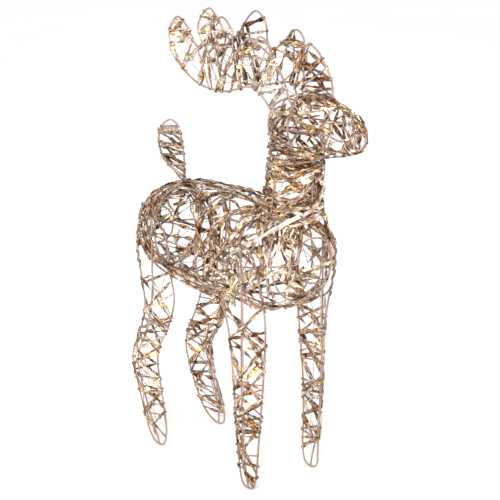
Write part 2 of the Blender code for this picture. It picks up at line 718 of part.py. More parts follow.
def build_tie(name, first, first_radius, second, second_radius, along, half_depth, finish):
    """A thin tie round two wires that pass each other. It lies square to the direction along."""
    apart = second - first
    apart = apart - along * apart.dot(along)
    across = apart.normalized()
    other = along.cross(across)
    slack = TIE_SLACK + TIE_RADIUS
    low = -(first_radius + slack) * MM
    high = apart.length + (second_radius + slack) * MM
    middle = first + across * (low + high) / 2
    loop = []
    for step in range(TIE_POINTS):
        x, y = rounded(2 * math.pi * step / TIE_POINTS, (high - low) / 2, (half_depth + slack) * MM, 3.5)
        loop.append(middle + across * x + other * y)
    mesh = bmesh.new()
    add_tube(mesh, loop, TIE_RADIUS * MM, TIE_SIDES, closed=True, guide=along)
    finish_object(name, mesh, finish)


def build_ties(torso, outers, path, finish):
    """The ties: cable to spine and legs, and legs to the torso's side wires."""
    for name, outer in outers.items():
        wire = at_height(outer, LEG_TIE_HEIGHT)
        cable = min(path, key=lambda point: (point - wire).length)
        along = (at_height(outer, LEG_TIE_HEIGHT + 4) - wire).normalized()
        build_tie(name + "_cable_tie", wire, WIRE_RADIUS, cable, CABLE_RADIUS, along, WIRE_RADIUS, finish)
        leg_point = at_height(outer, LEG_CLIP_HEIGHT[name.split("_")[0]])
        side_wire = torso.beside(leg_point, CAGES["torso"][-1])
        crossing = at_height(outer, side_wire.z / MM)
        diagonal = Vector((0, 1, 1)).normalized()
        build_tie(name + "_torso_tie", side_wire, WIRE_RADIUS, crossing, WIRE_RADIUS, diagonal,
                  WIRE_RADIUS * CROSSED_WIRES, finish)
    for number, forward in enumerate(SPINE_TIES, 1):
        spine = torso.nearest_top(forward)
        cable = min(path, key=lambda point: (point - spine).length)
        build_tie(f"spine_tie_{number}", spine, WIRE_RADIUS, cable, CABLE_RADIUS, Vector((0, -1, 0)),
                  WIRE_RADIUS, finish)


def build():
    """Model the whole reindeer."""
    clear_scene()
    finishes = {
        "frame": material("frame_paint", FRAME_COLOUR, 0.42, 0.55),
        "ribbon": material("ribbon", RIBBON_COLOUR, 0.38, 0.45),
        "cable": material("clear_cable", CABLE_COLOUR, 0.25, 0.0, 0.5),
        "lamp": material("lamp_resin", LAMP_COLOUR, 0.15, 0.0, 0.4),
        "tie": material("clear_tie", TIE_COLOUR, 0.35, 0.0, 0.3),
        "socket": material("socket_plastic", SOCKET_COLOUR, 0.35, 0.0, 0.2),
    }
    cages = {}
    for name, (stations, power, hoops, hoop_pieces, stringers, stringer_pieces) in CAGES.items():
        cages[name] = Cage(stations, power)
        build_cage(name + "_frame", cages[name], hoops, hoop_pieces, stringers, stringer_pieces,
                   finishes["frame"])
    for name, cage, start, end, turns in CAGE_WRAPS:
        points, normals = cages[cage].winding(start, end, turns, CAGE_WRAP_PROUD, CAGE_WRAP_STEPS)
        ribbon_solid(name, points, normals, finishes["ribbon"])

    outers = {
        "front_leg_right": build_leg("front_leg_right", FRONT_LEG_LOOP, FRONT_LEG_OUTER, FRONT_LEG_RUNGS,
                                     -1, finishes),
        "front_leg_left": build_leg("front_leg_left", stepped(FRONT_LEG_LOOP), stepped(FRONT_LEG_OUTER),
                                    FRONT_LEG_RUNGS, 1, finishes),
        "rear_leg_right": build_leg("rear_leg_right", REAR_LEG_LOOP_RIGHT, REAR_LEG_OUTER_RIGHT,
                                    REAR_LEG_RUNGS, -1, finishes),
        "rear_leg_left": build_leg("rear_leg_left", REAR_LEG_LOOP_LEFT, REAR_LEG_OUTER_LEFT,
                                   REAR_LEG_RUNGS, 1, finishes),
    }
    build_antler("antler_right", ANTLER_RIGHT, BROW_RIGHT, ANTLER_STOPS_RIGHT, finishes)
    build_antler("antler_left", ANTLER_LEFT, BROW_LEFT, ANTLER_STOPS_LEFT, finishes)
    tail = smooth(TAIL_OUTLINE, 3, closed=True)
    wire_object("tail_frame", tail, finishes["frame"], closed=True)
    points, normals = laced(tail, TAIL_STOPS)
    ribbon_solid("tail_wrap", points, normals, finishes["ribbon"], LACING_WIDTH)

    path = build_string(finishes)
    build_ties(cages["torso"], outers, path, finishes["tie"])


build()
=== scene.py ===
"""The looks of the light-up yard reindeer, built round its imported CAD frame.

Welded wire cages wound with many turns of flat champagne ribbon, and a string of warm white lamps
wound through the body, the legs and the antlers. Routes are written as (sideways, forward, height)
in millimetres, as in the part's source, with forward measured from midway between the feet.
"""
import math
import random

import bmesh
import bpy
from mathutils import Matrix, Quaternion, Vector


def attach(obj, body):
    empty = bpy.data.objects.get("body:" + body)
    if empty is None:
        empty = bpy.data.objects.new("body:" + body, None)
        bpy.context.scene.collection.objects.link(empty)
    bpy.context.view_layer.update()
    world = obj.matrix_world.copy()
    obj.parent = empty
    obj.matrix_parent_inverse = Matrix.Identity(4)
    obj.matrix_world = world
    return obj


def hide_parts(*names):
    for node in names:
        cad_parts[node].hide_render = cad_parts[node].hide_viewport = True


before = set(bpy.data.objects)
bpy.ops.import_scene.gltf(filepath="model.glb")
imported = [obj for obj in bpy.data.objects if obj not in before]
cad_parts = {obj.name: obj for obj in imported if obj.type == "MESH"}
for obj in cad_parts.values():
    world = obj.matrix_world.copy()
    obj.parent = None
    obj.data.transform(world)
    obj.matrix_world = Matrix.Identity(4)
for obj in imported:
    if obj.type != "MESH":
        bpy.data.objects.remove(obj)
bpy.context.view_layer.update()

MM = 0.001
ROOT = "root"
SHARP_EDGE = math.radians(58)
SIDEWAYS = Vector((1, 0, 0))
UPWARD = Vector((0, 0, 1))

# Wire, cable and lamp sizes, in millimetres.
WIRE_RADIUS = 1.5
STRINGER_RADIUS = 1.35
RUNG_RADIUS = 1.2
FOOT_HEIGHT = WIRE_RADIUS * math.cos(math.pi / 5)
CABLE_RADIUS = 0.9
LAMP_RADIUS = 2.2
LAMP_LENGTH = 8.0
LAMP_OFFSET = 3.45
LAMP_LIGHT_OFFSET = 4.5
LAMP_LIGHT_SIZE = 4.0

# What the random winding of each part starts from.
TORSO_SEED = 53
NECK_SEED = 63
HEAD_SEED = 64
LEG_SEED = 231
ANTLER_SEED = 101
TAIL_SEED = 5

# How far forward of the middle of the feet the origin lies.
CENTRE_FORWARD = 36.5

# The clear cable is two thin leads twisted together. They turn by TWIST_STEP, in radians, over each
# TWIST_SPACING.
LEAD_RADIUS = 0.45
TWIST_STEP = 0.9
TWIST_SPACING = 2.4
# A bead of weld, and the steps along it.
WELD_RADIUS = 2.2
WELD_LENGTH = 5.0
WELD_STEPS = 6

# Each cage's lengthwise wires, and the straight pieces that a hoop and such a wire are built from.
STRINGERS = 4
HOOP_PIECES = 72
STRINGER_PIECES = 90
# The steps in which a place along a cage is looked for.
FINE_STEPS = 400
# The pieces of smooth curve between two listed places: a wire, the cable, a laid and a bowed ribbon.
WIRE_PIECES = 8
CABLE_PIECES = 5
LAID_PIECES = 10
BOW_PIECES = 7

# Which stations carry a hoop.
TORSO_HOOPS = (0, 1, 2, 3.5, 5, 6, 7)
NECK_HOOPS = (0, 2)
HEAD_HOOPS = (0, 1, 2.5, 4, 6)

# The camera: its turn and rise in degrees, its lens and sensor in millimetres, and its target and
# distance in metres.
CAMERA_TURN = -40.24
CAMERA_RISE = 17.8
CAMERA_LENS = 144.0
CAMERA_SENSOR = 36.0
CAMERA_TARGET = (0.0324, 0.0365, 0.3476)
CAMERA_DISTANCE = 3.2

# The stage, in metres: what the lights are aimed at, half the floor's side, and how far it lies below
# the feet. Then the strengths of the lights and the warm colour of the lamps.
LIT_POINT = (0, 0, 0.36)
FLOOR_SIZE = 6.0
FLOOR_DROP = 0.0005
WORLD_STRENGTH = 1.04
KEY_POWER = 60.0
FILL_POWER = 20.0
LAMP_POWER = 0.028
LAMP_LIGHT_COLOUR = (1.0, 0.72, 0.33)
GLOW_STRENGTH = 60.0

# The lead's socket, as (distance along, radius): a barrel with grip rings, a lip and a hollow mouth.
SOCKET_SHAPE = [
    (0, 1.2), (0.5, 3.0), (2.2, 4.0), (4, 4.6), (6.5, 4.6), (7.0, 4.3), (7.6, 4.3), (8.1, 4.6), (9.4, 4.6),
    (9.9, 4.3), (10.5, 4.3), (11.0, 4.6), (12.3, 4.6), (12.8, 4.3), (13.4, 4.3), (13.9, 4.6), (19.4, 4.6),
    (20, 4.3), (20, 3.1), (19.6, 2.8), (11, 2.8), (11, 0.6),
]

# How far the socket stands off the end of the cable.
SOCKET_GAP = 0.35

# How square the cages' cross-sections are, from an ellipse (2) towards a rectangle.
TORSO_POWER = 2.4
NECK_POWER = 2.0
HEAD_POWER = 2.3
# Stations of the body's cages: (forward, height, half width, half height).
TORSO_STATIONS = [
    (-200, 350, 32, 30),
    (-166, 355, 62, 61),
    (-110, 366, 74, 75),
    (-40, 366, 76, 82),
    (30, 366, 76, 82),
    (100, 368, 76, 80),
    (158, 378, 60, 62),
    (190, 384, 34, 34),
]
NECK_STATIONS = [
    (140, 452, 45, 44),
    (142, 495, 41, 41),
    (145, 542, 40, 41),
]
# The neck's ribbons reach down into the torso and up into the head.
NECK_REACH = [
    (150, 388, 58, 46),
    (143, 424, 52, 46),
    *NECK_STATIONS,
    (147, 568, 39, 41),
    (150, 596, 35, 42),
]
HEAD_STATIONS = [
    (105, 590, 14, 18),
    (120, 588, 33, 34),
    (152, 590, 41, 43),
    (196, 594, 41, 45),
    (236, 597, 32, 34),
    (268, 590, 24, 23),
    (285, 588, 12, 12),
]
# Each leg is a closed loop of wire with a third wire down its outer side, for the left side.
FRONT_LEG_LOOP = [
    (81, 44, 356), (77, 52, 316), (71, 66, 271), (69, 74, 223), (69, 80, 175), (69, 84, 125), (68, 88, 75),
    (66, 91, 32), (66, 97, 8), (66, 107, FOOT_HEIGHT), (66, 117, FOOT_HEIGHT), (66, 127, 9), (64, 130, 32),
    (61, 132, 86), (59, 137, 155), (58, 142, 230), (62, 147, 290), (74, 148, 345), (80, 142, 386),
    (83, 124, 403), (83, 98, 403), (83, 68, 386),
]
FRONT_LEG_OUTER = [
    (81, 112, 404), (81, 114, 320), (81, 114, 160), (80, 115, 105), (76, 114, 60), (69, 112, 20),
    (66, 112, 1.8),
]
REAR_LEG_TOP = [
    (62, -78, 270), (72, -76, 320), (80, -73, 366), (81, -86, 392), (81, -110, 398), (81, -133, 391),
]
REAR_LEG_LOOP_RIGHT = [
    (81, -146, 372), (75, -156, 331), (68, -159, 300), (67, -152, 262), (67, -149, 230), (67, -158, 203),
    (67, -172, 172), (67, -184, 142), (67, -179, 116), (67, -161, 65), (66, -147, 26), (66, -135, 8),
    (66, -123, FOOT_HEIGHT), (66, -112, FOOT_HEIGHT), (66, -102, 9), (64, -100, 30), (62, -108, 65),
    (61, -117, 100), (61, -125, 140), (61, -120, 170), (61, -100, 204), (61, -84, 240), *REAR_LEG_TOP,
]
REAR_LEG_LOOP_LEFT = [
    (81, -146, 372), (75, -156, 331), (68, -162, 300), (67, -162, 262), (67, -170, 222), (67, -186, 184),
    (67, -204, 150), (67, -211, 118), (67, -202, 86), (67, -182, 45), (66, -162, 18), (66, -142, 5),
    (66, -128, FOOT_HEIGHT), (66, -118, FOOT_HEIGHT), (66, -108, 9), (64, -106, 28), (62, -117, 62),
    (61, -130, 98), (61, -139, 132), (61, -127, 160), (61, -104, 196), (61, -86, 236), *REAR_LEG_TOP,
]
REAR_LEG_OUTER_RIGHT = [
    (81, -109, 398), (81, -110, 320), (80, -112, 270), (80, -126, 210), (80, -150, 160), (80, -152, 130),
    (79, -140, 95), (76, -128, 55), (69, -119, 18), (66, -118, 1.8),
]
REAR_LEG_OUTER_LEFT = [
    (81, -109, 398), (81, -110, 320), (80, -116, 270), (80, -136, 200), (80, -168, 150), (80, -172, 120),
    (79, -160, 88), (76, -142, 50), (69, -126, 16), (66, -123, 1.8),
]
# The left front leg steps a little further forward, by this much above this height.
FRONT_STEP_LEFT = 6.0
FRONT_STEP_HEIGHT = 120.0
FRONT_LEG_RUNGS = [60, 180]
REAR_LEG_RUNGS = [55, 215]
# The flat outline of each antler, from its rear foot on the head, round its tines, to its front foot.
ANTLER_RIGHT = [
    (-27, 116, 612), (-34, 104, 630), (-38, 80, 640), (-37, 22, 622), (-35, -40, 622), (-34, -84, 640),
    (-33, -112, 668), (-32, -118, 698), (-32, -99, 719), (-32, -76, 708), (-34, -58, 688), (-34, -42, 680),
    (-34, -26, 692), (-34, -8, 722), (-34, 14, 735), (-34, 34, 720), (-36, 41, 694), (-38, 51, 685),
    (-42, 68, 702), (-45, 90, 715), (-45, 114, 709), (-43, 144, 691), (-41, 162, 666), (-39, 172, 642),
    (-33.7, 176, 622),
]
ANTLER_LEFT = [
    (27, 116, 612), (34, 104, 630), (38, 80, 636), (36, 22, 621), (35, -34, 618), (34, -86, 636),
    (33, -116, 664), (32, -127, 694), (32, -101, 724), (32, -78, 710), (33, -61, 690), (33, -44, 682),
    (34, -24, 700), (34, -4, 726), (34, 16, 736), (34, 36, 720), (36, 38, 692), (38, 50, 682), (42, 70, 698),
    (45, 93, 718), (45, 112, 704), (42, 110, 676), (38, 119, 650), (29.4, 124, 617),
]
# The extra front tine of each antler.
BROW_RIGHT = [(-45, 104, 712), (-44, 112, 722), (-44, 126, 719), (-43, 133, 708), (-43, 139, 694)]
BROW_LEFT = [
    (43, 110, 682), (44, 115, 694), (44, 126, 701), (43, 148, 691), (41, 169, 669), (39, 182, 648),
    (33.8, 189, 623),
]
TAIL_OUTLINE = [
    (0, -130, 443), (0, -152, 453), (0, -176, 465), (0, -190, 484), (0, -192, 507), (0, -178, 528),
    (0, -158, 537), (0, -140, 528), (0, -131, 504), (0, -126, 472),
]
# The lamp string's route from its socket in the rump: down and up each leg, through the neck and head,
# along both antlers, back along the spine and round both flanks.
STRING_START = [(0, -136, 312), (-26, -130, 318), (-52, -122, 326), (-70, -117, 328), (-77.5, -114, 308)]
LEG_RUN_REAR_RIGHT = [
    (-77.5, -112, 285), (-77, -113, 262), (-77, -126, 210), (-77, -149, 160), (-76.5, -151, 130),
    (-75.5, -139, 95), (-72, -129, 62), (-67, -123, 42), (-67, -130, 62), (-69, -134, 92), (-70, -148, 132),
    (-70, -141, 165), (-70, -116, 208), (-67, -101, 258),
]
STRING_REAR_CROSSING = [
    (-58, -112, 284), (-40, -115, 301), (-20, -112, 308), (20, -108, 308), (52, -114, 326), (70, -117, 328),
    (77.5, -115, 308),
]
LEG_RUN_REAR_LEFT = [
    (77.5, -113, 285), (77, -118, 260), (77, -137, 200), (77, -167, 150), (76.5, -171, 120),
    (75.5, -158, 88), (72, -144, 58), (67, -132, 40), (67, -140, 60), (69, -152, 88), (70, -170, 122),
    (70, -158, 158), (70, -124, 200), (68, -104, 252),
]
STRING_BELLY = [
    (58, -112, 283), (40, -115, 301), (28, -84, 306), (24, -50, 300), (4, 0, 292), (-20, 50, 296),
    (-46, 84, 318), (-70, 113, 330), (-77.5, 114, 308),
]
LEG_RUN_FRONT = [
    (77.5, 114, 285), (77.5, 114, 240), (77.5, 114, 160), (76.5, 115, 105), (72.5, 114, 66), (67, 112, 40),
    (67, 104, 54), (69, 104, 76), (70, 105, 110), (70, 106, 160), (70, 106, 220), (68, 106, 262),
]
STRING_CHEST_CROSSING = [
    (-58, 114, 284), (-40, 118, 295), (-18, 118, 305), (18, 118, 308), (48, 117, 322), (70, 117, 330),
    (77.5, 119, 308),
]
STRING_NECK_FRONT = [
    (58, 118, 284), (40, 119, 296), (28, 126, 314), (24, 138, 334), (22, 150, 362), (18, 138, 400),
    (13, 128, 438), (10, 138, 460), (6, 156, 482), (2, 170, 515), (7, 182.5, 546), (8, 190, 562),
    (8, 204, 567), (8, 236, 580), (6, 260, 588), (0, 267, 602), (-5, 252, 616), (-12, 222, 626),
    (-15, 192, 628), (-17, 176, 634), (-28, 160, 647),
]
STRING_ANTLER_RIGHT = [
    (-41, 138, 664), (-41.5, 100, 674), (-39, 58, 670), (-36, 10, 664), (-34, -45, 656), (-33, -82, 666),
    (-32.5, -100, 686), (-32.5, -92, 700), (-33, -78, 690), (-34, -58, 650), (-35, -20, 636), (-37, 40, 638),
    (-38, 84, 650), (-36, 118, 646), (-24, 136, 640),
]
STRING_HEAD_CROSSING = [(-14, 140, 634), (-6, 137, 622), (6, 137, 622), (14, 140, 634), (24, 140, 641)]
STRING_ANTLER_LEFT = [
    (36, 122, 662), (40, 98, 672), (40, 74, 674), (37, 34, 662), (35, -10, 656), (34, -55, 654),
    (33, -86, 668), (32.5, -106, 692), (32.5, -98, 706), (32.5, -84, 694), (33, -66, 648), (35, -20, 634),
    (37, 36, 636), (37, 80, 648), (32, 108, 642), (20, 130, 636),
]
STRING_NECK_BACK = [
    (11, 131, 620), (8, 122, 592), (8, 116, 562), (6, 114, 540), (4, 114, 500), (-4, 114, 475),
    (-6, 112, 458), (-6, 107, 448), (-6, 99, 442.5), (-5, 88, 441.5),
]
STRING_SPINE = [
    (0, 66, 444.3), (0, 40, 445.0), (0, 0, 445.1), (0, -40, 444.9), (0, -80, 440), (-4, -112, 430),
]
STRING_FLANKS = [
    (-22, -148, 412), (-46, -156, 372), (-48, -152, 334), (-24, -164, 326), (14, -166, 330), (46, -150, 352),
    (62, -104, 372), (66, -50, 374), (66, 10, 372), (64, 70, 366), (50, 128, 362), (18, 164, 350),
    (-20, 160, 350), (-50, 132, 366), (-64, 70, 372), (-66, 10, 368), (-66, -50, 366),
]
# Where the string's lamps sit, each beside the nearest stretch of cable.
LAMP_PLACES = [
    (-77, -113, 256), (-75.5, -140, 98), (-70, -146, 150),
    (77, -150, 178), (70, -168, 124), (69, -112, 230),
    (-77.5, 114, 240), (-77.5, 114, 186), (-70, 106, 140),
    (77.5, 120, 214), (4, 0, 292),
    (22, 152, 362), (3, 166, 504), (6, 258, 587), (-13, 214, 626),
    (-38, 56, 670), (-32.5, -98, 684), (38.5, 50, 667), (32.5, -104, 690),
    (-4, 114, 478), (-48, -154, 350), (66, -20, 373),
]
# The bead, as shares of a lamp's length and radius, and the chip in it, as (distance along, radius).
BEAD_PROFILE = [(0.0, 0.7), (0.25, 1.0), (0.75, 0.9), (1.0, 0.3)]
CHIP_PROFILE = [(2.2, 0.35), (2.5, 1.15), (4.2, 1.35), (5.8, 1.1), (6.3, 0.3)]
# Lamps above this height sit on the antlers.
ANTLER_LEVEL = 640
# Ties hold the cable to the spine wire and to each leg, and each leg to the torso's side wire.
SPINE_TIES = [-24, 18]
LEG_TIE_HEIGHT = 236
LEG_CLIP_HEIGHT = {"front": 368.5, "rear": 364}
TIE_RADIUS = 0.5
TIE_SLACK = 0.6
TIE_ROUNDNESS = 3.5
TIE_STEPS = 28
TIE_TAIL = [-1.2, 0.0, 1.2, 3.2]
TIE_TAIL_SWELL = [1.7, 1.7, 1.0, 0.8]
CROSSED_WIRES = 2.5
# How many flat sides a round wire, rung, lead, bead, chip, tie and socket is built with.
WIRE_SIDES = 10
RUNG_SIDES = 8
LEAD_SIDES = 6
BEAD_SIDES = 20
CHIP_SIDES = 14
TIE_SIDES = 8
SOCKET_SIDES = 32


# ---------------------------------------------------------------- paths

def place(sideways, forward, height):
    """The point in metres for a place written as sideways, forward and height in millimetres."""
    return Vector((sideways, CENTRE_FORWARD - forward, height)) * MM


def mirrored(route, side):
    """The same route on the left side (side = 1) or on the right side (side = -1)."""
    return [(side * sideways, forward, height) for sideways, forward, height in route]


def stepped(route):
    """A front leg's route moved forward, in full above FRONT_STEP_HEIGHT and not at all at the foot."""
    return [(sideways, forward + FRONT_STEP_LEFT * min(height / FRONT_STEP_HEIGHT, 1.0), height)
            for sideways, forward, height in route]


def smooth(route, pieces=4, closed=False):
    """Points along a Catmull-Rom curve through a route, with the given pieces between its points."""
    knots = [place(*point) for point in route]
    return smooth_through(knots, pieces, closed)


def spline(before, start, end, after, t):
    """The place at a share t of the way from start to end, on a Catmull-Rom curve."""
    return 0.5 * (
        2 * start + (end - before) * t
        + (2 * before - 5 * start + 4 * end - after) * t * t
        + (3 * start - before - 3 * end + after) * t * t * t)


def smooth_through(knots, pieces, closed=False):
    """Points along a Catmull-Rom curve through knots that are already in metres."""
    count = len(knots)
    last = count - 1
    points = []
    for span in range(count if closed else last):
        before = knots[(span - 1) % count] if closed or span > 0 else knots[0] * 2 - knots[1]
        after = knots[last] * 2 - knots[last - 1]
        if closed or span + 2 <= last:
            after = knots[(span + 2) % count]
        for piece in range(pieces):
            points.append(spline(before, knots[span], knots[(span + 1) % count], after, piece / pieces))
    if not closed:
        points.append(knots[-1])
    return points


def resample(points, spacing, closed=False):
    """Points at nearly even distances along a path, about the spacing in metres apart."""
    path = list(points) + ([points[0]] if closed else [])
    lengths = [0.0]
    for first, second in zip(path, path[1:]):
        lengths.append(lengths[-1] + (second - first).length)
    total = lengths[-1]
    count = max(2, round(total / spacing))
    result = []
    index = 0
    for step in range(count if closed else count + 1):
        wanted = total * step / count
        while index < len(lengths) - 2 and lengths[index + 1] < wanted:
            index += 1
        span = lengths[index + 1] - lengths[index]
        part = (wanted - lengths[index]) / span if span > 0 else 0.0
        result.append(path[index].lerp(path[index + 1], min(max(part, 0.0), 1.0)))
    return result


def tangents(points, closed):
    """The direction of a path at each of its points."""
    count = len(points)
    directions = []
    for index in range(count):
        ahead = points[(index + 1) % count] if closed or index + 1 < count else points[index]
        behind = points[index - 1] if closed or index > 0 else points[index]
        directions.append((ahead - behind).normalized())
    return directions


def at_height(points, height):
    """The place where a wire that falls or rises steadily passes a height in millimetres."""
    level = height * MM
    for first, second in zip(points, points[1:]):
        if (first.z - level) * (second.z - level) <= 0 and first.z != second.z:
            return first.lerp(second, (level - first.z) / (second.z - first.z))
    return points[0] if abs(points[0].z - level) < abs(points[-1].z - level) else points[-1]


# ---------------------------------------------------------------- cages

def rounded(angle, half_width, half_height, power):
    """A point on a rounded square, from an ellipse (power 2) towards a rectangle (high power)."""
    cosine = math.cos(angle)
    sine = math.sin(angle)
    reach = (abs(cosine) ** power + abs(sine) ** power) ** (-1.0 / power)
    return half_width * cosine * reach, half_height * sine * reach


class Cage:
    """A tube-like cage round a centre line in the middle plane, with hoops and lengthwise wires."""

    def __init__(self, stations, power):
        self.stations = stations
        self.power = power
        self.last = len(stations) - 1

    def centre(self, place_along):
        """Forward, height, half width and half height at a number between 0 and the last station."""
        place_along = min(max(place_along, 0.0), self.last)
        index = min(int(place_along), self.last - 1)
        t = place_along - index
        rows = [self.stations[min(max(index + step, 0), self.last)] for step in (-1, 0, 1, 2)]
        return [spline(*values, t) for values in zip(*rows)]

    def across(self, place_along):
        """The direction of the cage's height, square to its centre line."""
        step = 0.05
        ahead = self.centre(place_along + step)
        behind = self.centre(place_along - step)
        slope = Vector((0, behind[0] - ahead[0], ahead[1] - behind[1])).normalized()
        up = Vector((0, slope.z, -slope.y))
        return up if up.z > 0 or abs(up.z) < 0.5 and up.y > 0 else -up

    def middle(self, place_along):
        """The point on the centre line."""
        forward, height = self.centre(place_along)[:2]
        return place(0, forward, height)

    def point(self, place_along, angle, proud=0.0):
        """A point of the cage's surface, standing proud by some millimetres."""
        forward, height, half_width, half_height = self.centre(place_along)
        x, y = rounded(angle, half_width + proud, half_height + proud, self.power)
        return place(x, forward, height) + self.across(place_along) * y * MM

    def hoop(self, station, pieces):
        """The closed ring of wire at a station."""
        return [self.point(station, 2 * math.pi * piece / pieces) for piece in range(pieces)]

    def stringer(self, angle, pieces):
        """A lengthwise wire at an angle round the cage."""
        return [self.point(place_along, angle) for place_along in self.evenly(pieces)]

    def evenly(self, pieces):
        """Evenly spaced numbers from the first station to the last."""
        return [self.last * piece / pieces for piece in range(pieces + 1)]


# ---------------------------------------------------------------- mesh pieces

def new_mesh():
    """An empty mesh with the values that the materials read from each face corner."""
    mesh = bmesh.new()
    mesh.loops.layers.uv.new("strand")
    mesh.loops.layers.float_color.new("tone")
    return mesh


def add_rings(mesh, rings, closed, across_values, along_values, tones):
    """Skin a row of rings. Across and along values go to the strand map, the tones to the corners."""
    strand = mesh.loops.layers.uv["strand"]
    colour = mesh.loops.layers.float_color["tone"]
    made = [[mesh.verts.new(point) for point in ring] for ring in rings]
    sides = len(rings[0])
    spans = len(rings) if closed else len(rings) - 1
    for span in range(spans):
        first = made[span]
        second = made[(span + 1) % len(made)]
        along_first = along_values[span]
        along_second = 2 * along_values[-1] - along_values[-2]
        if span + 1 < len(along_values):
            along_second = along_values[span + 1]
        for side in range(sides):
            after = (side + 1) % sides
            face = mesh.faces.new((first[side], first[after], second[after], second[side]))
            face.smooth = True
            corners = (
                (side, along_first), (after, along_first), (after, along_second), (side, along_second))
            for loop, (corner, along) in zip(face.loops, corners):
                loop[strand].uv = (across_values[corner], along)
                loop[colour] = tones[corner]
    if not closed:
        for ring, along in ((list(reversed(made[0])), along_values[0]), (made[-1], along_values[-1])):
            face = mesh.faces.new(ring)
            for loop in face.loops:
                loop[strand].uv = (0.5, along)
                loop[colour] = tones[0]


def ring_round(centre, across, other, radius, sides):
    """Points evenly round a circle, its radius in metres."""
    angles = [2 * math.pi * side / sides for side in range(sides)]
    return [centre + (across * math.cos(angle) + other * math.sin(angle)) * radius for angle in angles]


def add_round(mesh, rings, closed, lengths):
    """Skin the rings of a round piece, whose strand map runs to and fro round it."""
    sides = len(rings[0])
    across_values = [abs(side / sides - 0.5) * 2 for side in range(sides)]
    add_rings(mesh, rings, closed, across_values, lengths, [(0.5, 0.0, 0.0, 1.0)] * sides)


def add_tube(mesh, points, radius, sides, closed=False, guide=None, taper=None):
    """Add a round wire along a path, its radius in millimetres."""
    rings = []
    lengths = [0.0]
    across = guide if guide else Vector((0.31, 0.17, 0.93))
    for index, (point, along) in enumerate(zip(points, tangents(points, closed))):
        if guide:
            across = guide
        across = across - along * across.dot(along)
        if across.length < 0.02:
            across = along.orthogonal()
        across = across.normalized()
        size = radius * MM * (taper[index] if taper else 1.0)
        rings.append(ring_round(point, across, along.cross(across), size, sides))
        if index:
            lengths.append(lengths[-1] + (point - points[index - 1]).length / MM)
    add_round(mesh, rings, closed, lengths)


def revolve(mesh, profile, base, axis, sides):
    """Skin a turned shape from (distance along the axis, radius) in millimetres."""
    across = axis.orthogonal().normalized()
    other = axis.cross(across)
    rings = [ring_round(base + axis * along * MM, across, other, radius * MM, sides)
             for along, radius in profile]
    add_round(mesh, rings, False, [along for along, _ in profile])


def add_object(name, data):
    """A new object in the scene."""
    thing = bpy.data.objects.new(name, data)
    bpy.context.scene.collection.objects.link(thing)
    return thing


def finish_piece(name, mesh, look, *nodes):
    """Turn a bmesh into a named piece that rides on the frame and stands for CAD nodes."""
    finish, slot = look
    bmesh.ops.recalc_face_normals(mesh, faces=mesh.faces)
    data = bpy.data.meshes.new(name)
    mesh.to_mesh(data)
    mesh.free()
    data.materials.append(finish)
    data.set_sharp_from_angle(angle=SHARP_EDGE)
    piece = add_object(name, data)
    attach(piece, ROOT)
    if nodes:
        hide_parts(*nodes)


# ---------------------------------------------------------------- ribbon

# Across a ribbon: (place from -1 to 1, crease height in millimetres) on its outer face.
RIBBON_SECTION = [(-1.0, 0.0), (-0.55, 0.22), (-0.1, -0.06), (0.4, 0.2), (1.0, 0.0)]
RIBBON_THICKNESS = 0.45
# The longest straight piece of a ribbon, and how near two of its points may be before one is dropped.
RIBBON_STEP = 5.5
RIBBON_NEAREST = 0.15
# How light the lengths of ribbon are, from nearly black (0) to cream (1), each as common as it is listed.
TONES = [0.42, 0.5, 0.58, 0.64, 0.68, 0.72, 0.76, 0.81, 0.88, 0.99]
TONE_STRAY = 0.07
# Where along the grain and the painted shade of folds and pinches a ribbon may start.
PATTERN_STARTS = (0, 400)
# How far a ribbon turns about its length, in radians, how much of its width is pinched in, and the
# lengths in millimetres over which it turns and is pinched.
TURN_AMOUNTS = (0.15, 1.15)
TURN_LENGTHS = (35, 90)
PINCH_AMOUNTS = (0.25, 0.8)
PINCH_LENGTHS = (24, 60)
# How thick the layers of ribbon lie on the wires, how far from there they begin to bend, and at most
# in which share of a run. Then the share of ribbons that are bowed all along.
LAYERS = 3.5
BEND = 4.0
BEND_SHARE = 0.3
BOWED_SHARE = 0.1
# Real widths against the widths listed in the tables below.
WIDTH_SCALE = 1.12
# How narrow a ribbon is gathered where it is held, and how far from there it reaches its full width.
GATHERED = 0.6
GATHER_REACH = 10.0
# How far the ribbons of one bundle lie apart: in stations along a cage, and in radians round it.
SPREAD_ALONG = 0.11
SPREAD_ROUND = 0.08
# How far the other side's bundles may be shifted, in stations.
OTHER_SIDE_SHIFT = 0.5
# How long a random ribbon's straight runs are, in stations along a cage or in radians round it, and
# how far it turns aside when it comes back over an end of the cage.
RUN_ALONG = (0.7, 1.7)
RUN_ROUND = (0.35, 1.15)
TURN_AT_END = (0.5, 1.6)
# The usual narrowest and widest ribbon, and how far between them most ribbons lie.
USUAL_WIDTHS = (4, 9)
COMMON_WIDTH = 0.3
# How the ribbons of a laid bundle differ from its listed width and tone, and how much less they pinch.
LAID_WIDTHS = (0.8, 1.1)
LAID_TONES = 0.08
LAID_SMOOTHER = 0.6


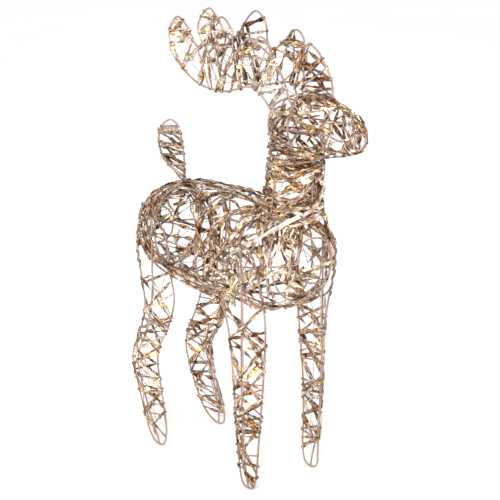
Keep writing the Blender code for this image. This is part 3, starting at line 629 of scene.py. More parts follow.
class Ribbon:
    """How one length of ribbon looks: its width, twist, tone and creases, drawn at random."""

    def __init__(self, dice, width, tone=None):
        self.width = WIDTH_SCALE * width
        self.tone = tone
        if tone is None:
            self.tone = dice.choice(TONES) + dice.uniform(-TONE_STRAY, TONE_STRAY)
        self.turn_phase = dice.uniform(0, 2 * math.pi)
        self.turn_amount = dice.uniform(*TURN_AMOUNTS)
        self.turn_length = dice.uniform(*TURN_LENGTHS)
        self.pinch_phase = dice.uniform(0, 2 * math.pi)
        self.pinch_amount = dice.uniform(*PINCH_AMOUNTS)
        self.pinch_length = dice.uniform(*PINCH_LENGTHS)
        self.start = dice.uniform(*PATTERN_STARTS)
        self.flip = dice.choice((-1, 1))
        self.plain = 0.0

    def width_at(self, along):
        """Half the width, in millimetres, at a distance along."""
        wave = math.sin(along * 2 * math.pi / self.pinch_length + self.pinch_phase)
        return 0.5 * self.width * (1 - self.pinch_amount * (0.5 + 0.5 * wave))

    def turn_at(self, along):
        """How far the ribbon is turned about its length, in radians, at a distance along."""
        return self.turn_amount * math.sin(along * 2 * math.pi / self.turn_length + self.turn_phase)


def add_ribbon(mesh, points, normals, ribbon, held=()):
    """Add a thin creased ribbon along a path. Normals point away from what it is wound on, and the
    ribbon is gathered where it is held."""
    lengths = [ribbon.start]
    for before, here in zip(points, points[1:]):
        lengths.append(lengths[-1] + (here - before).length / MM)
    rings = []
    for point, along, outward, length in zip(points, tangents(points, False), normals, lengths):
        outward = outward - along * outward.dot(along)
        outward = outward.normalized() if outward.length > 1e-4 else along.orthogonal().normalized()
        turned = Quaternion(along, ribbon.turn_at(length)) @ outward
        side = along.cross(turned)
        near = min(((point - spot).length / MM for spot in held), default=GATHER_REACH)
        half = ribbon.width_at(length) * (GATHERED + (1 - GATHERED) * min(1.0, near / GATHER_REACH))
        ring = []
        for section, face in ((RIBBON_SECTION, 0.5), (RIBBON_SECTION[::-1], -0.5)):
            for across, crease in section:
                height = (crease * ribbon.flip + face * RIBBON_THICKNESS) * MM
                ring.append(point + side * across * half * MM + turned * height)
        rings.append(ring)
    values = [0.5 + 0.5 * across for across, _ in RIBBON_SECTION]
    # Each corner carries the ribbon's tone, a flag for the back face, on which the finish paints shade, and
    # how much less painted shade of folds and pinches it shows.
    tones = [(ribbon.tone, is_back, ribbon.plain, 1.0) for is_back in (0.0, 1.0) for _ in RIBBON_SECTION]
    add_rings(mesh, rings, False, values + values[::-1], lengths, tones)


def fill_runs(points, normals):
    """Add points along the straight runs of a path, and drop points that nearly coincide."""
    new_points = []
    new_normals = []
    for here, after, normal, next_normal in zip(points, points[1:], normals, normals[1:]):
        apart = (after - here).length / MM
        if apart < RIBBON_NEAREST:
            continue
        steps = max(1, round(apart / RIBBON_STEP))
        for step in range(steps):
            new_points.append(here.lerp(after, step / steps))
            new_normals.append(normal.lerp(next_normal, step / steps).normalized())
    new_points.append(points[-1])
    new_normals.append(normals[-1])
    return new_points, new_normals


def outward_at(cage, station, angle):
    """The direction that faces straight out of a cage's surface."""
    ahead = cage.point(min(station + 0.1, cage.last), angle)
    behind = cage.point(max(station - 0.1, 0.0), angle)
    onward = cage.point(station, angle + 0.06) - cage.point(station, angle - 0.06)
    outward = (ahead - behind).cross(onward).normalized()
    return outward if outward.dot(cage.point(station, angle) - cage.middle(station)) > 0 else -outward


def roam(dice, winding, share):
    """The places (station, angle) where a ribbon bends as it is wound over a cage by hand."""
    low, high = winding["from"], winding["to"]
    station = low + (high - low) * share
    angle = winding.get("angle", dice.uniform(0, 2 * math.pi)) + dice.gauss(0, winding.get("stray", 0))
    lean = dice.gauss(0, winding["lean"])
    way = dice.choice((-1, 1))
    if winding.get("lengthwise"):
        station = dice.choice((low, high))
        lean = 1 if station == low else -1
    stops = [(station, angle)]
    for _ in range(winding["bends"]):
        if winding.get("lengthwise"):
            station += lean * dice.uniform(*RUN_ALONG)
            angle += dice.gauss(0, winding["lean"])
            if not low < station < high:
                station = min(max(station, low), high)
                stops.append((station, angle))
                lean = -lean
                if winding.get("over_ends"):
                    angle += math.pi + dice.choice((-1, 1)) * dice.uniform(*TURN_AT_END)
        else:
            step = dice.uniform(*RUN_ROUND)
            angle += way * step
            station += lean * step + dice.gauss(0, winding["jitter"])
            if not low < station < high:
                lean = -lean
                station = min(max(station, low), high)
        stops.append((station, angle))
    return stops


def add_strand(mesh, dice, cage, course, ribbon, lift=0.0):
    """Lay one ribbon of a bundle over a cage, a little off the bundle's course."""
    layer = WIRE_RADIUS + dice.uniform(0.3, LAYERS) + lift
    spots = []
    facing = []
    for station, angle in course:
        station = min(max(station + dice.gauss(0, SPREAD_ALONG), 0.0), cage.last)
        angle += dice.gauss(0, SPREAD_ROUND)
        spots.append(cage.point(station, angle, layer + dice.uniform(-1, 1)))
        facing.append(outward_at(cage, station, angle))
    if dice.random() < BOWED_SHARE:
        points, normals = bow(spots, facing)
    else:
        points, normals = fill_runs(*bend_round(spots, facing))
    add_ribbon(mesh, points, normals, ribbon, spots)


def wind_cage(mesh, dice, cage, windings):
    """Wind bundles of ribbon over a cage at random, each bundle on its own course."""
    for winding in windings:
        narrow, wide = winding.get("width", USUAL_WIDTHS)
        for number in range(winding["count"]):
            course = roam(dice, winding, (number + dice.random()) / winding["count"])
            for _ in range(winding.get("strands", 1)):
                width = dice.triangular(narrow, wide, narrow + COMMON_WIDTH * (wide - narrow))
                add_strand(mesh, dice, cage, course, Ribbon(dice, width))


def lay_bundles(mesh, dice, cage, bundles, lift=0.0):
    """Lay the listed main bundles over a cage, and sparser ones much the same on its other side."""
    for strands, width, tone, places in bundles:
        for other_side in (False, True):
            shift = dice.uniform(-OTHER_SIDE_SHIFT, OTHER_SIDE_SHIFT) if other_side else 0.0
            course = []
            for station, degrees in places:
                angle = math.radians(180 - degrees if other_side else degrees)
                course.append((station + shift, angle))
            for _ in range(max(1, strands - 1) if other_side else strands):
                laid_width = width * dice.uniform(*LAID_WIDTHS)
                ribbon = Ribbon(dice, laid_width, tone + dice.uniform(-LAID_TONES, LAID_TONES))
                ribbon.pinch_amount *= LAID_SMOOTHER
                add_strand(mesh, dice, cage, course, ribbon, lift)


def bend_round(spots, facing):
    """Cut the corners of a path, as a ribbon bends round the wires that hold it."""
    points = [spots[0]]
    normals = [facing[0]]
    for before, here, after, normal in zip(spots, spots[1:], spots[2:], facing[1:]):
        near = min(BEND * MM, BEND_SHARE * (here - before).length, BEND_SHARE * (after - here).length)
        back = (before - here).normalized()
        onward = (after - here).normalized()
        points.append(here + back * near)
        points.append(here + (back + onward) * near * 0.25)
        points.append(here + onward * near)
        normals += [normal, normal, normal]
    points.append(spots[-1])
    normals.append(facing[-1])
    return points, normals


def bow(spots, facing):
    """A path that bends gently all along its runs."""
    points = smooth_through(spots, BOW_PIECES)
    normals = []
    for index in range(len(points)):
        run, part = divmod(index / BOW_PIECES, 1)
        first = facing[int(run)]
        second = facing[min(int(run) + 1, len(facing) - 1)]
        normals.append(first.lerp(second, part).normalized())
    return points, normals


# ---------------------------------------------------------------- wires of each part

def welded_cage(name, cage, hoops, look, node):
    """A cage's hoops and lengthwise wires, with a small bead of weld where they cross."""
    mesh = new_mesh()
    for station in hoops:
        hoop = cage.hoop(station, HOOP_PIECES)
        add_tube(mesh, hoop, WIRE_RADIUS, WIRE_SIDES, closed=True, guide=cage_guide(cage, station))
    for index in range(STRINGERS):
        angle = 2 * math.pi * index / STRINGERS + 0.5 * math.pi
        add_tube(mesh, cage.stringer(angle, STRINGER_PIECES), STRINGER_RADIUS, WIRE_SIDES)
        for station in hoops:
            add_weld(mesh, cage.point(station, angle))
    finish_piece(name, mesh, look, node)


def cage_guide(cage, station):
    """The direction square to a hoop, which keeps its rings from twisting."""
    quarter = 0.5 * math.pi
    return (cage.point(station, 0) - cage.point(station, 2 * quarter)).cross(
        cage.point(station, quarter) - cage.point(station, 3 * quarter))


def add_weld(mesh, spot):
    """A bead of weld where two wires cross."""
    dice = random.Random(round(spot.x * 1e6) + round(spot.y * 1e5) + round(spot.z * 1e4))
    axis = Vector((dice.uniform(-1, 1), dice.uniform(-1, 1), dice.uniform(-1, 1))).normalized()
    steps = range(WELD_STEPS + 1)
    points = [spot + axis * WELD_LENGTH * MM * (step / WELD_STEPS - 0.5) for step in steps]
    swell = [0.25 + 0.75 * math.sin(math.pi * (0.08 + 0.84 * step / WELD_STEPS)) for step in steps]
    add_tube(mesh, points, WELD_RADIUS, WIRE_SIDES, taper=swell)


class Leg:
    """A leg's wires: a loop that bends under the foot, and a third wire down its outer side."""

    def __init__(self, loop_route, outer_route, side):
        self.loop = smooth(mirrored(loop_route, side), WIRE_PIECES, closed=True)
        for point in self.loop:
            point.z = max(point.z, FOOT_HEIGHT * MM)
        self.outer = smooth(mirrored(outer_route, side), WIRE_PIECES)
        foot = min(range(len(self.loop)), key=lambda index: self.loop[index].z)
        top = max(range(len(self.loop)), key=lambda index: self.loop[index].z)
        self.rear = self.loop[:foot]
        self.front = self.loop[foot + 1:top + 1]
        self.wires = [self.rear, self.outer, self.front]

    def shank(self, height):
        """The middle of the leg at a height in millimetres."""
        rear, outer, front = [at_height(wire, height) for wire in self.wires]
        return (rear + outer + front) / 3


def leg_wires(name, leg, rungs, look, node):
    """A leg's frame with its rungs and welds."""
    mesh = new_mesh()
    add_tube(mesh, leg.loop, WIRE_RADIUS, WIRE_SIDES, closed=True, guide=SIDEWAYS)
    add_tube(mesh, leg.outer, WIRE_RADIUS, WIRE_SIDES, guide=SIDEWAYS)
    add_weld(mesh, leg.outer[0])
    add_weld(mesh, leg.outer[-1])
    for height in rungs:
        corners = [at_height(wire, height) for wire in leg.wires]
        for first, second in zip(corners, corners[1:]):
            add_tube(mesh, [first, (first + second) / 2, second], RUNG_RADIUS, RUNG_SIDES, guide=UPWARD)
        for corner in corners:
            add_weld(mesh, corner)
    finish_piece(name, mesh, look, node)


# ---------------------------------------------------------------- ribbon on legs

# How far a turn strays and how unevenly the turns follow, as shares of their height, how far above the
# bottom a ribbon may end, and how far off the wires it may lie.
STRAY_SHARE = 0.16
UNEVENNESS = (0.5, 1.5)
END_STRAY = 8
LEG_LAYERS = (0.4, 2.4)
# Where a ribbon has points as it bends round a wire, and the bend in radians that is too tight to turn.
WIRE_BEND = (0.0, 0.25, 0.5, 0.75, 1.0)
FLAT_BEND = 3


def outward_of(first, second, middle):
    """The level direction that faces away from the middle, square to the line between two wires."""
    run = second - first
    outward = Vector((run.y, -run.x, 0)).normalized()
    return outward if outward.dot(first - middle) > 0 else -outward


def wind_leg(mesh, dice, leg, top, bottom, turn, narrow, wide, way):
    """One ribbon wound down a leg from wire to wire, with uneven turns of about the given height."""
    index = dice.randrange(3)
    height = top
    held = []
    while height > bottom:
        held.append((index, height + dice.uniform(-1, 1) * STRAY_SHARE * turn))
        index = (index + way) % 3
        height -= turn / 3 * dice.uniform(*UNEVENNESS)
    held.append((index, bottom + dice.uniform(0, END_STRAY)))
    gap = WIRE_RADIUS + dice.uniform(*LEG_LAYERS)
    points = []
    normals = []
    spots = [at_height(leg.wires[wire], level) for wire, level in held]
    for number, here in enumerate(spots):
        middle = leg.shank(here.z / MM)
        before = spots[number - 1] if number else spots[1]
        after = spots[number + 1] if number + 1 < len(spots) else spots[number - 1]
        incoming = outward_of(before, here, middle)
        outgoing = outward_of(here, after, middle)
        for part in WIRE_BEND:
            direction = incoming
            if incoming.angle(outgoing) < FLAT_BEND:
                direction = incoming.slerp(outgoing, part)
            points.append(here + direction * gap * MM)
            normals.append(direction)
    points, normals = fill_runs(points, normals)
    ribbon = Ribbon(dice, dice.uniform(narrow, wide))
    # Painted shade: the legs' ribbons are made darker.
    ribbon.tone -= LEG_PAINTED_SHADE
    add_ribbon(mesh, points, normals, ribbon, spots)


def bind_wire(mesh, dice, points, turn):
    """A narrow ribbon wound round a wire itself, with turns of about the given length."""
    points = resample(points, turn / BIND_STEPS * MM)
    gap = WIRE_RADIUS + BIND_GAP
    phase = dice.uniform(0, 2 * math.pi)
    path = []
    normals = []
    for index, (point, along) in enumerate(zip(points, tangents(points, False))):
        across = along.orthogonal().normalized()
        direction = Quaternion(along, phase + 2 * math.pi * index / BIND_STEPS) @ across
        path.append(point + direction * gap * MM)
        normals.append(direction)
    ribbon = Ribbon(dice, BIND_WIDTH)
    ribbon.turn_amount = 0.0
    # Painted shade: the legs' ribbons are made darker.
    ribbon.tone -= LEG_PAINTED_SHADE
    add_ribbon(mesh, path, normals, ribbon)


# ---------------------------------------------------------------- ribbon on flat outlines

# How far a laced stop strays from its listed place, how far off the wire the ribbon lies, and where it
# has points, in degrees, as it passes round the wire from one face to the other.
STRAY = 4.5
LACE_LAYERS = (0.4, 1.6)
LACE_BEND = (10, 50, 90, 130, 170)


def is_inside(outline, spot):
    """Whether a spot lies inside an outline, looking along the sideways direction."""
    inside = False
    for first, second in zip(outline, outline[1:] + outline[:1]):
        if (first.z > spot.z) != (second.z > spot.z):
            crossing = first.y + (spot.z - first.z) / (second.z - first.z) * (second.y - first.y)
            if spot.y < crossing:
                inside = not inside
    return inside


def run_is_clear(outline, first, second):
    """Whether a straight run between two points of an outline stays inside it."""
    return all(is_inside(outline, first.lerp(second, part)) for part in (0.2, 0.4, 0.6, 0.8))


def found_stops(dice, outline, listed):
    """The points of an outline nearest to some listed (forward, height) stops, each strayed a little.
    A run that would leave the outline is left out."""
    stops = []
    for forward, height in listed:
        wanted = place(0, forward + dice.gauss(0, STRAY), height + dice.gauss(0, STRAY))
        here = min(outline, key=lambda point: (point.y - wanted.y) ** 2 + (point.z - wanted.z) ** 2)
        if not stops or run_is_clear(outline, stops[-1], here):
            stops.append(here)
    return stops


def lace(mesh, dice, stops, narrow, wide, tone=None):
    """One ribbon laced from stop to stop, passing round the wire from one face to the other."""
    if len(stops) < 2:
        return
    face = dice.choice((-1.0, 1.0))
    gap = WIRE_RADIUS + dice.uniform(*LACE_LAYERS)
    points = []
    normals = []
    for index, here in enumerate(stops):
        travel = (here - stops[index - 1] if index else stops[0] - stops[1]).normalized()
        onward = travel
        if index + 1 < len(stops):
            onward = (stops[index + 1] - here).normalized()
        outward = travel - onward
        outward.x = 0
        outward = outward.normalized() if outward.length > 1e-3 else travel
        near = Vector((face, 0, 0))
        for degrees in LACE_BEND:
            angle = math.radians(degrees)
            direction = near * math.cos(angle) + outward * math.sin(angle)
            points.append(here + direction * gap * MM)
            normals.append(direction)
        face = -face
    points, normals = fill_runs(points, normals)
    add_ribbon(mesh, points, normals, Ribbon(dice, dice.uniform(narrow, wide), tone), stops)


# A laid strip turns and is pinched by these shares of what other ribbons are, and shows this much less
# of the painted shade of folds and pinches on its surface.
STRIP_TURN = 0.3
STRIP_PINCH = 0.5
STRIP_PLAIN = 0.8


def lace_rows(mesh, dice, wire, rows, widths, tone=None):
    """A ribbon for each row of listed stops on a wire."""
    for listed in rows:
        lace(mesh, dice, found_stops(dice, wire, listed), *widths, tone)


def lay_ribbon(mesh, dice, route, inside_point, width, tone):
    """One plain flat ribbon laid along a given route, facing away from a point inside."""
    points = smooth(route, LAID_PIECES)
    centre = place(*inside_point)
    normals = [(point - centre).normalized() for point in points]
    ribbon = Ribbon(dice, width, tone)
    ribbon.turn_amount *= STRIP_TURN
    ribbon.pinch_amount *= STRIP_PINCH
    ribbon.plain = STRIP_PLAIN
    add_ribbon(mesh, points, normals, ribbon)


# ---------------------------------------------------------------- lamp string

def string_path():
    """The lamp string's whole route as a smooth path."""
    route = STRING_START + LEG_RUN_REAR_RIGHT + STRING_REAR_CROSSING + LEG_RUN_REAR_LEFT
    route += STRING_BELLY + mirrored(LEG_RUN_FRONT, -1) + STRING_CHEST_CROSSING + stepped(LEG_RUN_FRONT)
    route += STRING_NECK_FRONT + STRING_ANTLER_RIGHT + STRING_HEAD_CROSSING + STRING_ANTLER_LEFT
    route += STRING_NECK_BACK + STRING_SPINE + STRING_FLANKS
    return smooth(route, CABLE_PIECES)


def twisted_pair(name, path, look, node):
    """The cable: two thin clear leads twisted together."""
    mesh = new_mesh()
    points = resample(path, TWIST_SPACING * MM)
    across = UPWARD
    sideways = []
    for along in tangents(points, False):
        across = across - along * across.dot(along)
        across = across.normalized() if across.length > 1e-3 else along.orthogonal()
        sideways.append((across.copy(), along.cross(across)))
    for half in (0.0, math.pi):
        lead = []
        for index, (point, (first, second)) in enumerate(zip(points, sideways)):
            angle = half + index * TWIST_STEP
            lead.append(point + (first * math.cos(angle) + second * math.sin(angle)) * LEAD_RADIUS * MM)
        add_tube(mesh, lead, LEAD_RADIUS, LEAD_SIDES)
    finish_piece(name, mesh, look, node)


def lamp_frame(path, directions, lamp_place):
    """Where a lamp sits beside the cable: its base, its direction, and the way it stands aside."""
    wanted = place(*lamp_place)
    index = min(range(len(path)), key=lambda spot: (path[spot] - wanted).length)
    along = directions[index]
    if lamp_place[2] > ANTLER_LEVEL:
        aside = along.cross(SIDEWAYS)
    else:
        inward = -1.0 if path[index].x > 0 else 1.0
        aside = (SIDEWAYS - along * along.x) * inward
    aside.normalize()
    base = path[index] + aside * LAMP_OFFSET * MM - along * LAMP_LENGTH * MM / 2
    return base, along, aside


def build_lamp(number, base, along, aside, looks):
    """One lamp: a clear resin bead over a glowing chip, with a neck at each end for the leads."""
    bead = new_mesh()
    profile = [(LAMP_LENGTH * part, LAMP_RADIUS * wide) for part, wide in BEAD_PROFILE]
    revolve(bead, profile, base, along, BEAD_SIDES)
    chip = new_mesh()
    revolve(chip, CHIP_PROFILE, base, along, CHIP_SIDES)
    finish_piece(f"lamp_bead_{number:02d}", bead, looks["lamp"], f"lamp_{number:02d}")
    finish_piece(f"lamp_glow_{number:02d}", chip, looks["glow"])
    light = bpy.data.lights.new(f"lamp_light_{number:02d}", "POINT")
    light.energy = LAMP_POWER
    light.color = LAMP_LIGHT_COLOUR
    light.shadow_soft_size = LAMP_LIGHT_SIZE * MM
    holder = add_object(light.name, light)
    holder.location = base + along * LAMP_LENGTH * MM / 2 + aside * LAMP_LIGHT_OFFSET * MM


def build_tie(names, half_width, half_depth, middle, across, other, look):
    """A thin clear tie in a rounded loop, with its small head and its cut-off tail."""
    mesh = new_mesh()
    loop = []
    for step in range(TIE_STEPS):
        x, y = rounded(2 * math.pi * step / TIE_STEPS, half_width, half_depth, TIE_ROUNDNESS)
        loop.append(middle + across * x + other * y)
    along = across.cross(other)
    add_tube(mesh, loop, TIE_RADIUS, TIE_SIDES, closed=True, guide=along)
    head = middle + across * half_width
    tail = [head + other * distance * MM for distance in TIE_TAIL]
    add_tube(mesh, tail, TIE_RADIUS, TIE_SIDES, guide=along, taper=TIE_TAIL_SWELL)
    name, node = names
    finish_piece(name, mesh, look, node)


# ---------------------------------------------------------------- materials

def new_finish(name):
    """A new material with its node tree and its main shader."""
    finish = bpy.data.materials.new(name)
    finish.use_nodes = True
    tree = finish.node_tree
    shader = tree.nodes["Principled BSDF"]
    return finish, tree, shader


def fill(tree, node, inputs):
    """Set a node's inputs, each given as a value or as a link."""
    for key, value in inputs.items():
        if isinstance(value, bpy.types.NodeSocket):
            tree.links.new(value, node.inputs[key])
        else:
            node.inputs[key].default_value = value


def add_node(tree, kind, inputs=None, **settings):
    """Add a shader node with its settings and its inputs."""
    node = tree.nodes.new(kind)
    for key, value in settings.items():
        setattr(node, key, value)
    fill(tree, node, inputs or {})
    return node


def combined(tree, first, second, operation="ADD", clamp=False):
    """The result of an arithmetic node."""
    inputs = {0: first, 1: second}
    return add_node(tree, "ShaderNodeMath", inputs, operation=operation, use_clamp=clamp).outputs[0]


def scaled(tree, value, low, high, out_low, out_high):
    """A value mapped from one range to another, and kept within it."""
    node = add_node(tree, "ShaderNodeMapRange", {
        "Value": value, "From Min": low, "From Max": high, "To Min": out_low, "To Max": out_high})
    return node.outputs["Result"]


def spread(tree, noise, low, high):
    """Noise mapped from its usual range to another."""
    return scaled(tree, noise, 0.3, 0.7, low, high)


def ramp(tree, value, stops):
    """A colour ramp from (place, colour) stops."""
    node = add_node(tree, "ShaderNodeValToRGB", {"Fac": value})
    elements = node.color_ramp.elements
    while len(elements) < len(stops):
        elements.new(0.5)
    for element, (position, colour) in zip(elements, stops):
        element.position = position
        element.color = (*colour, 1.0)
    return node.outputs["Color"]


def cloud(tree, scale, detail):
    """Noise through a piece's own space."""
    spot = add_node(tree, "ShaderNodeTexCoord").outputs["Object"]
    inputs = {"Vector": spot, "Scale": scale, "Detail": detail}
    return add_node(tree, "ShaderNodeTexNoise", inputs).outputs["Fac"]


def relief(tree, height, strength, depth):
    """A surface made uneven by a height, its depth in metres."""
    inputs = {"Height": height, "Strength": strength, "Distance": depth}
    return add_node(tree, "ShaderNodeBump", inputs).outputs["Normal"]


def strand_map(tree):
    """The strand map: across a ribbon or round a wire (X), and along it in millimetres (Y)."""
    strand = add_node(tree, "ShaderNodeUVMap", uv_map="strand").outputs["UV"]
    return add_node(tree, "ShaderNodeSeparateXYZ", {"Vector": strand}).outputs


def strand_noise(tree, across, along, light, stretch, detail):
    """Noise laid along a ribbon. Stretch gives its scale across, along, and from ribbon to ribbon."""
    where = add_node(tree, "ShaderNodeCombineXYZ", {
        "X": combined(tree, across, stretch[0], "MULTIPLY"),
        "Y": combined(tree, along, stretch[1], "MULTIPLY"),
        "Z": combined(tree, light, stretch[2], "MULTIPLY")}).outputs[0]
    return add_node(tree, "ShaderNodeTexNoise", {
        "Vector": where, "Scale": 1.0, "Detail": detail, "Roughness": 0.55}).outputs["Fac"]


def ribbon_finish():
    """Flat champagne ribbon: pale faces with a fine lengthwise grain and a metallic sheen, and painted
    shade:
    sharp-edged golden shadow sides of folds, small dark pinches, and browner edges and back."""
    finish, tree, shader = new_finish("champagne_ribbon")
    strand = strand_map(tree)
    across = strand["X"]
    along = strand["Y"]
    corner = add_node(tree, "ShaderNodeVertexColor", layer_name="tone").outputs["Color"]
    tone = add_node(tree, "ShaderNodeSeparateColor", {"Color": corner}).outputs
    light = tone["Red"]
    back = tone["Green"]
    # How much of the painted shade of folds and pinches a ribbon shows.
    creased = combined(tree, 1.0, tone["Blue"], "SUBTRACT")

    grain = strand_noise(tree, across, along, light, (16.0, 0.035, 31.0), 3.0)
    patch = strand_noise(tree, across, along, light, (1.1, 0.11, 67.0), 2.0)
    # Painted shade: sharp-edged golden-brown shadow sides of lengthwise folds.
    painted_fold_shade = strand_noise(tree, across, along, light, (2.1, 0.085, 113.0), 1.0)
    painted_fold_shade = combined(tree, scaled(tree, painted_fold_shade, 0.515, 0.55, 0.0, 1.0), creased, "MULTIPLY")
    # Painted shade: small dark spots where a ribbon is pinched or twisted.
    pinch = strand_noise(tree, across, along, light, (2.6, 0.2, 59.0), 1.0)
    pinch = combined(tree, scaled(tree, pinch, 0.565, 0.6, 0.0, 1.0), creased, "MULTIPLY")

    shade = combined(tree, light, spread(tree, patch, -0.28, 0.44))
    shade = combined(tree, shade, spread(tree, grain, -0.2, 0.18))
    # Painted shade: each ribbon is darker towards its edges.
    off_middle = combined(tree, across, 0.5, "SUBTRACT")
    edge = combined(tree, off_middle, 0.0, "ABSOLUTE")
    shade = combined(tree, shade, scaled(tree, edge, 0.31, 0.5, 0.0, -0.24))
    # Painted shade: the back face of each ribbon is darker.
    shade = combined(tree, shade, combined(tree, back, -0.12, "MULTIPLY"))
    shade = combined(tree, shade, combined(tree, painted_fold_shade, -0.22, "MULTIPLY"))
    shade = combined(tree, shade, combined(tree, pinch, -0.55, "MULTIPLY"), clamp=True)
    pale = ramp(tree, shade, [
        (0.0, (0.045, 0.013, 0.004)), (0.2, (0.130, 0.058, 0.022)), (0.4, (0.280, 0.165, 0.100)),
        (0.6, (0.440, 0.320, 0.245)), (0.8, (0.630, 0.525, 0.450)), (1.0, (0.900, 0.840, 0.780))])
    # The gold ramp is the painted golden-brown shade of the folds, mixed in where that shade falls.
    gold = ramp(tree, shade, [
        (0.0, (0.050, 0.013, 0.002)), (0.2, (0.180, 0.060, 0.007)), (0.4, (0.400, 0.180, 0.028)),
        (0.6, (0.600, 0.350, 0.090)), (0.8, (0.770, 0.570, 0.240)), (1.0, (0.950, 0.850, 0.600))])
    golden = combined(tree, painted_fold_shade, 0.85, "MULTIPLY")
    mixed = add_node(tree, "ShaderNodeMix", {0: golden, 6: pale, 7: gold}, data_type="RGBA")
    fill(tree, shader, {
        "Base Color": mixed.outputs[2], "Metallic": 0.8, "Roughness": spread(tree, grain, 0.3, 0.5),
        "Normal": relief(tree, grain, 0.35, 0.0004)})
    return finish


def frame_finish():
    """Satin champagne paint on wire, a little uneven."""
    finish, tree, shader = new_finish("satin_wire_paint")
    mottle = cloud(tree, 260.0, 3.0)
    broad = cloud(tree, 28.0, 2.0)
    mixed = combined(
        tree, combined(tree, mottle, 0.35, "MULTIPLY"), combined(tree, broad, 0.65, "MULTIPLY"))
    colour = ramp(tree, mixed, [
        (0.32, (0.240, 0.135, 0.105)), (0.48, (0.380, 0.250, 0.215)), (0.68, (0.500, 0.370, 0.330))])
    fill(tree, shader, {
        "Base Color": colour, "Metallic": 0.3, "Roughness": spread(tree, mottle, 0.3, 0.5),
        "Normal": relief(tree, mottle, 0.25, 0.0003)})
    return finish


def clear_finish(name, tint, roughness, flow_scale):
    """Clear moulded plastic with faint flow marks."""
    finish, tree, shader = new_finish(name)
    flow = cloud(tree, flow_scale, 2.0)
    light = tuple(min(1.0, value * 1.06) for value in tint)
    dark = tuple(value * 0.9 for value in tint)
    fill(tree, shader, {
        "Base Color": ramp(tree, flow, [(0.35, dark), (0.65, light)]),
        "Roughness": spread(tree, flow, roughness * 0.8, roughness * 1.25),
        "Transmission Weight": 0.75, "IOR": 1.46, "Normal": relief(tree, flow, 0.15, 0.0002)})
    return finish


def glow_finish():
    """The lit chip of a lamp: hottest in its middle."""
    finish, tree, shader = new_finish("lamp_glow")
    along = strand_map(tree)["Y"]
    colour = ramp(tree, scaled(tree, along, 2.0, 6.0, 0.0, 1.0), [
        (0.0, (1.0, 0.55, 0.16)), (0.5, (1.0, 0.86, 0.55)), (1.0, (1.0, 0.55, 0.16))])
    fill(tree, shader, {
        "Base Color": colour, "Emission Color": colour, "Emission Strength": GLOW_STRENGTH,
        "Roughness": 0.4})
    return finish


def floor_finish():
    """A plain, nearly white floor."""
    finish, tree, shader = new_finish("pale_floor")
    colour = ramp(tree, cloud(tree, 3.0, 2.0), [(0.3, (0.90, 0.90, 0.90)), (0.7, (0.93, 0.93, 0.93))])
    fill(tree, shader, {"Base Color": colour, "Roughness": 0.9})
    return finish


# ---------------------------------------------------------------- stage

def aim(thing, target):
    """Turn a camera or a light to face a point."""
    thing.rotation_euler = (target - thing.location).to_track_quat("-Z", "Y").to_euler()


def add_camera():
    """The camera, at the angle and distance of the view to be matched."""
    camera = bpy.data.cameras.new("camera")
    camera.lens = CAMERA_LENS
    camera.sensor_width = CAMERA_SENSOR
    holder = add_object("camera", camera)
    turn = math.radians(CAMERA_TURN)
    rise = math.radians(CAMERA_RISE)
    away = Vector((math.sin(turn) * math.cos(rise), -math.cos(turn) * math.cos(rise), math.sin(rise)))
    target = Vector(CAMERA_TARGET)
    holder.location = target + away * CAMERA_DISTANCE
    aim(holder, target)
    bpy.context.scene.camera = holder


def add_area(name, location, size, power, colour):
    """A soft square light aimed at the reindeer's middle."""
    light = bpy.data.lights.new(name, "AREA")
    light.size = size
    light.energy = power
    light.color = colour
    holder = add_object(name, light)
    holder.location = location
    aim(holder, Vector(LIT_POINT))


def build_stage():
    """A plain pale floor, a white world and soft studio lights."""
    mesh = bmesh.new()
    bmesh.ops.create_grid(mesh, x_segments=4, y_segments=4, size=FLOOR_SIZE)
    data = bpy.data.meshes.new("floor")
    mesh.to_mesh(data)
    mesh.free()
    data.materials.append(floor_finish())
    floor = add_object("floor", data)
    floor.location.z = -FLOOR_DROP

    world = bpy.data.worlds.new("studio")
    world.use_nodes = True
    backdrop = world.node_tree.nodes["Background"]
    backdrop.inputs["Color"].default_value = (1.0, 1.0, 1.0, 1.0)
    backdrop.inputs["Strength"].default_value = WORLD_STRENGTH
    bpy.context.scene.world = world
    bpy.context.scene.view_settings.view_transform = "Standard"

    add_area("key", (-2.2, -1.6, 2.4), 1.2, KEY_POWER, (1.0, 0.98, 0.96))
    add_area("fill", (1.8, -2.4, 1.2), 1.6, FILL_POWER, (1.0, 1.0, 1.0))


# ---------------------------------------------------------------- the reindeer

# Ribbon wound on the cages: between which stations, how many, how many times each bends, how much it
# leans and strays from its course, and how wide it is if not as usual. Angles are in radians from the
# left side, up over the top.
TOP = 0.5 * math.pi
BOTTOM = -0.5 * math.pi
TORSO_ACROSS = [
    {"from": 0.3, "to": 6.8, "count": 6, "strands": 2, "bends": 5, "lean": 0.8, "jitter": 0.25},
    {"from": 0.0, "to": 1.7, "count": 3, "strands": 2, "bends": 4, "lean": 1.1, "jitter": 0.4},
    {"from": 0.6, "to": 6.6, "count": 5, "strands": 2, "bends": 4, "lean": 1.3, "jitter": 0.4},
    {"from": 0.2, "to": 6.8, "count": 15, "bends": 2, "lean": 0.9, "jitter": 0.5},
]
TORSO_ALONG = [
    {"from": 0.0, "to": 7.0, "count": 8, "bends": 5, "lean": 0.14, "lengthwise": True, "angle": TOP,
     "stray": 0.25, "width": (4, 8)},
    {"from": 0.0, "to": 7.0, "count": 5, "bends": 5, "lean": 0.2, "lengthwise": True, "angle": BOTTOM,
     "stray": 0.4, "width": (4, 8)},
    {"from": 0.0, "to": 7.0, "count": 4, "bends": 8, "lean": 0.45, "lengthwise": True,
     "over_ends": True},
]
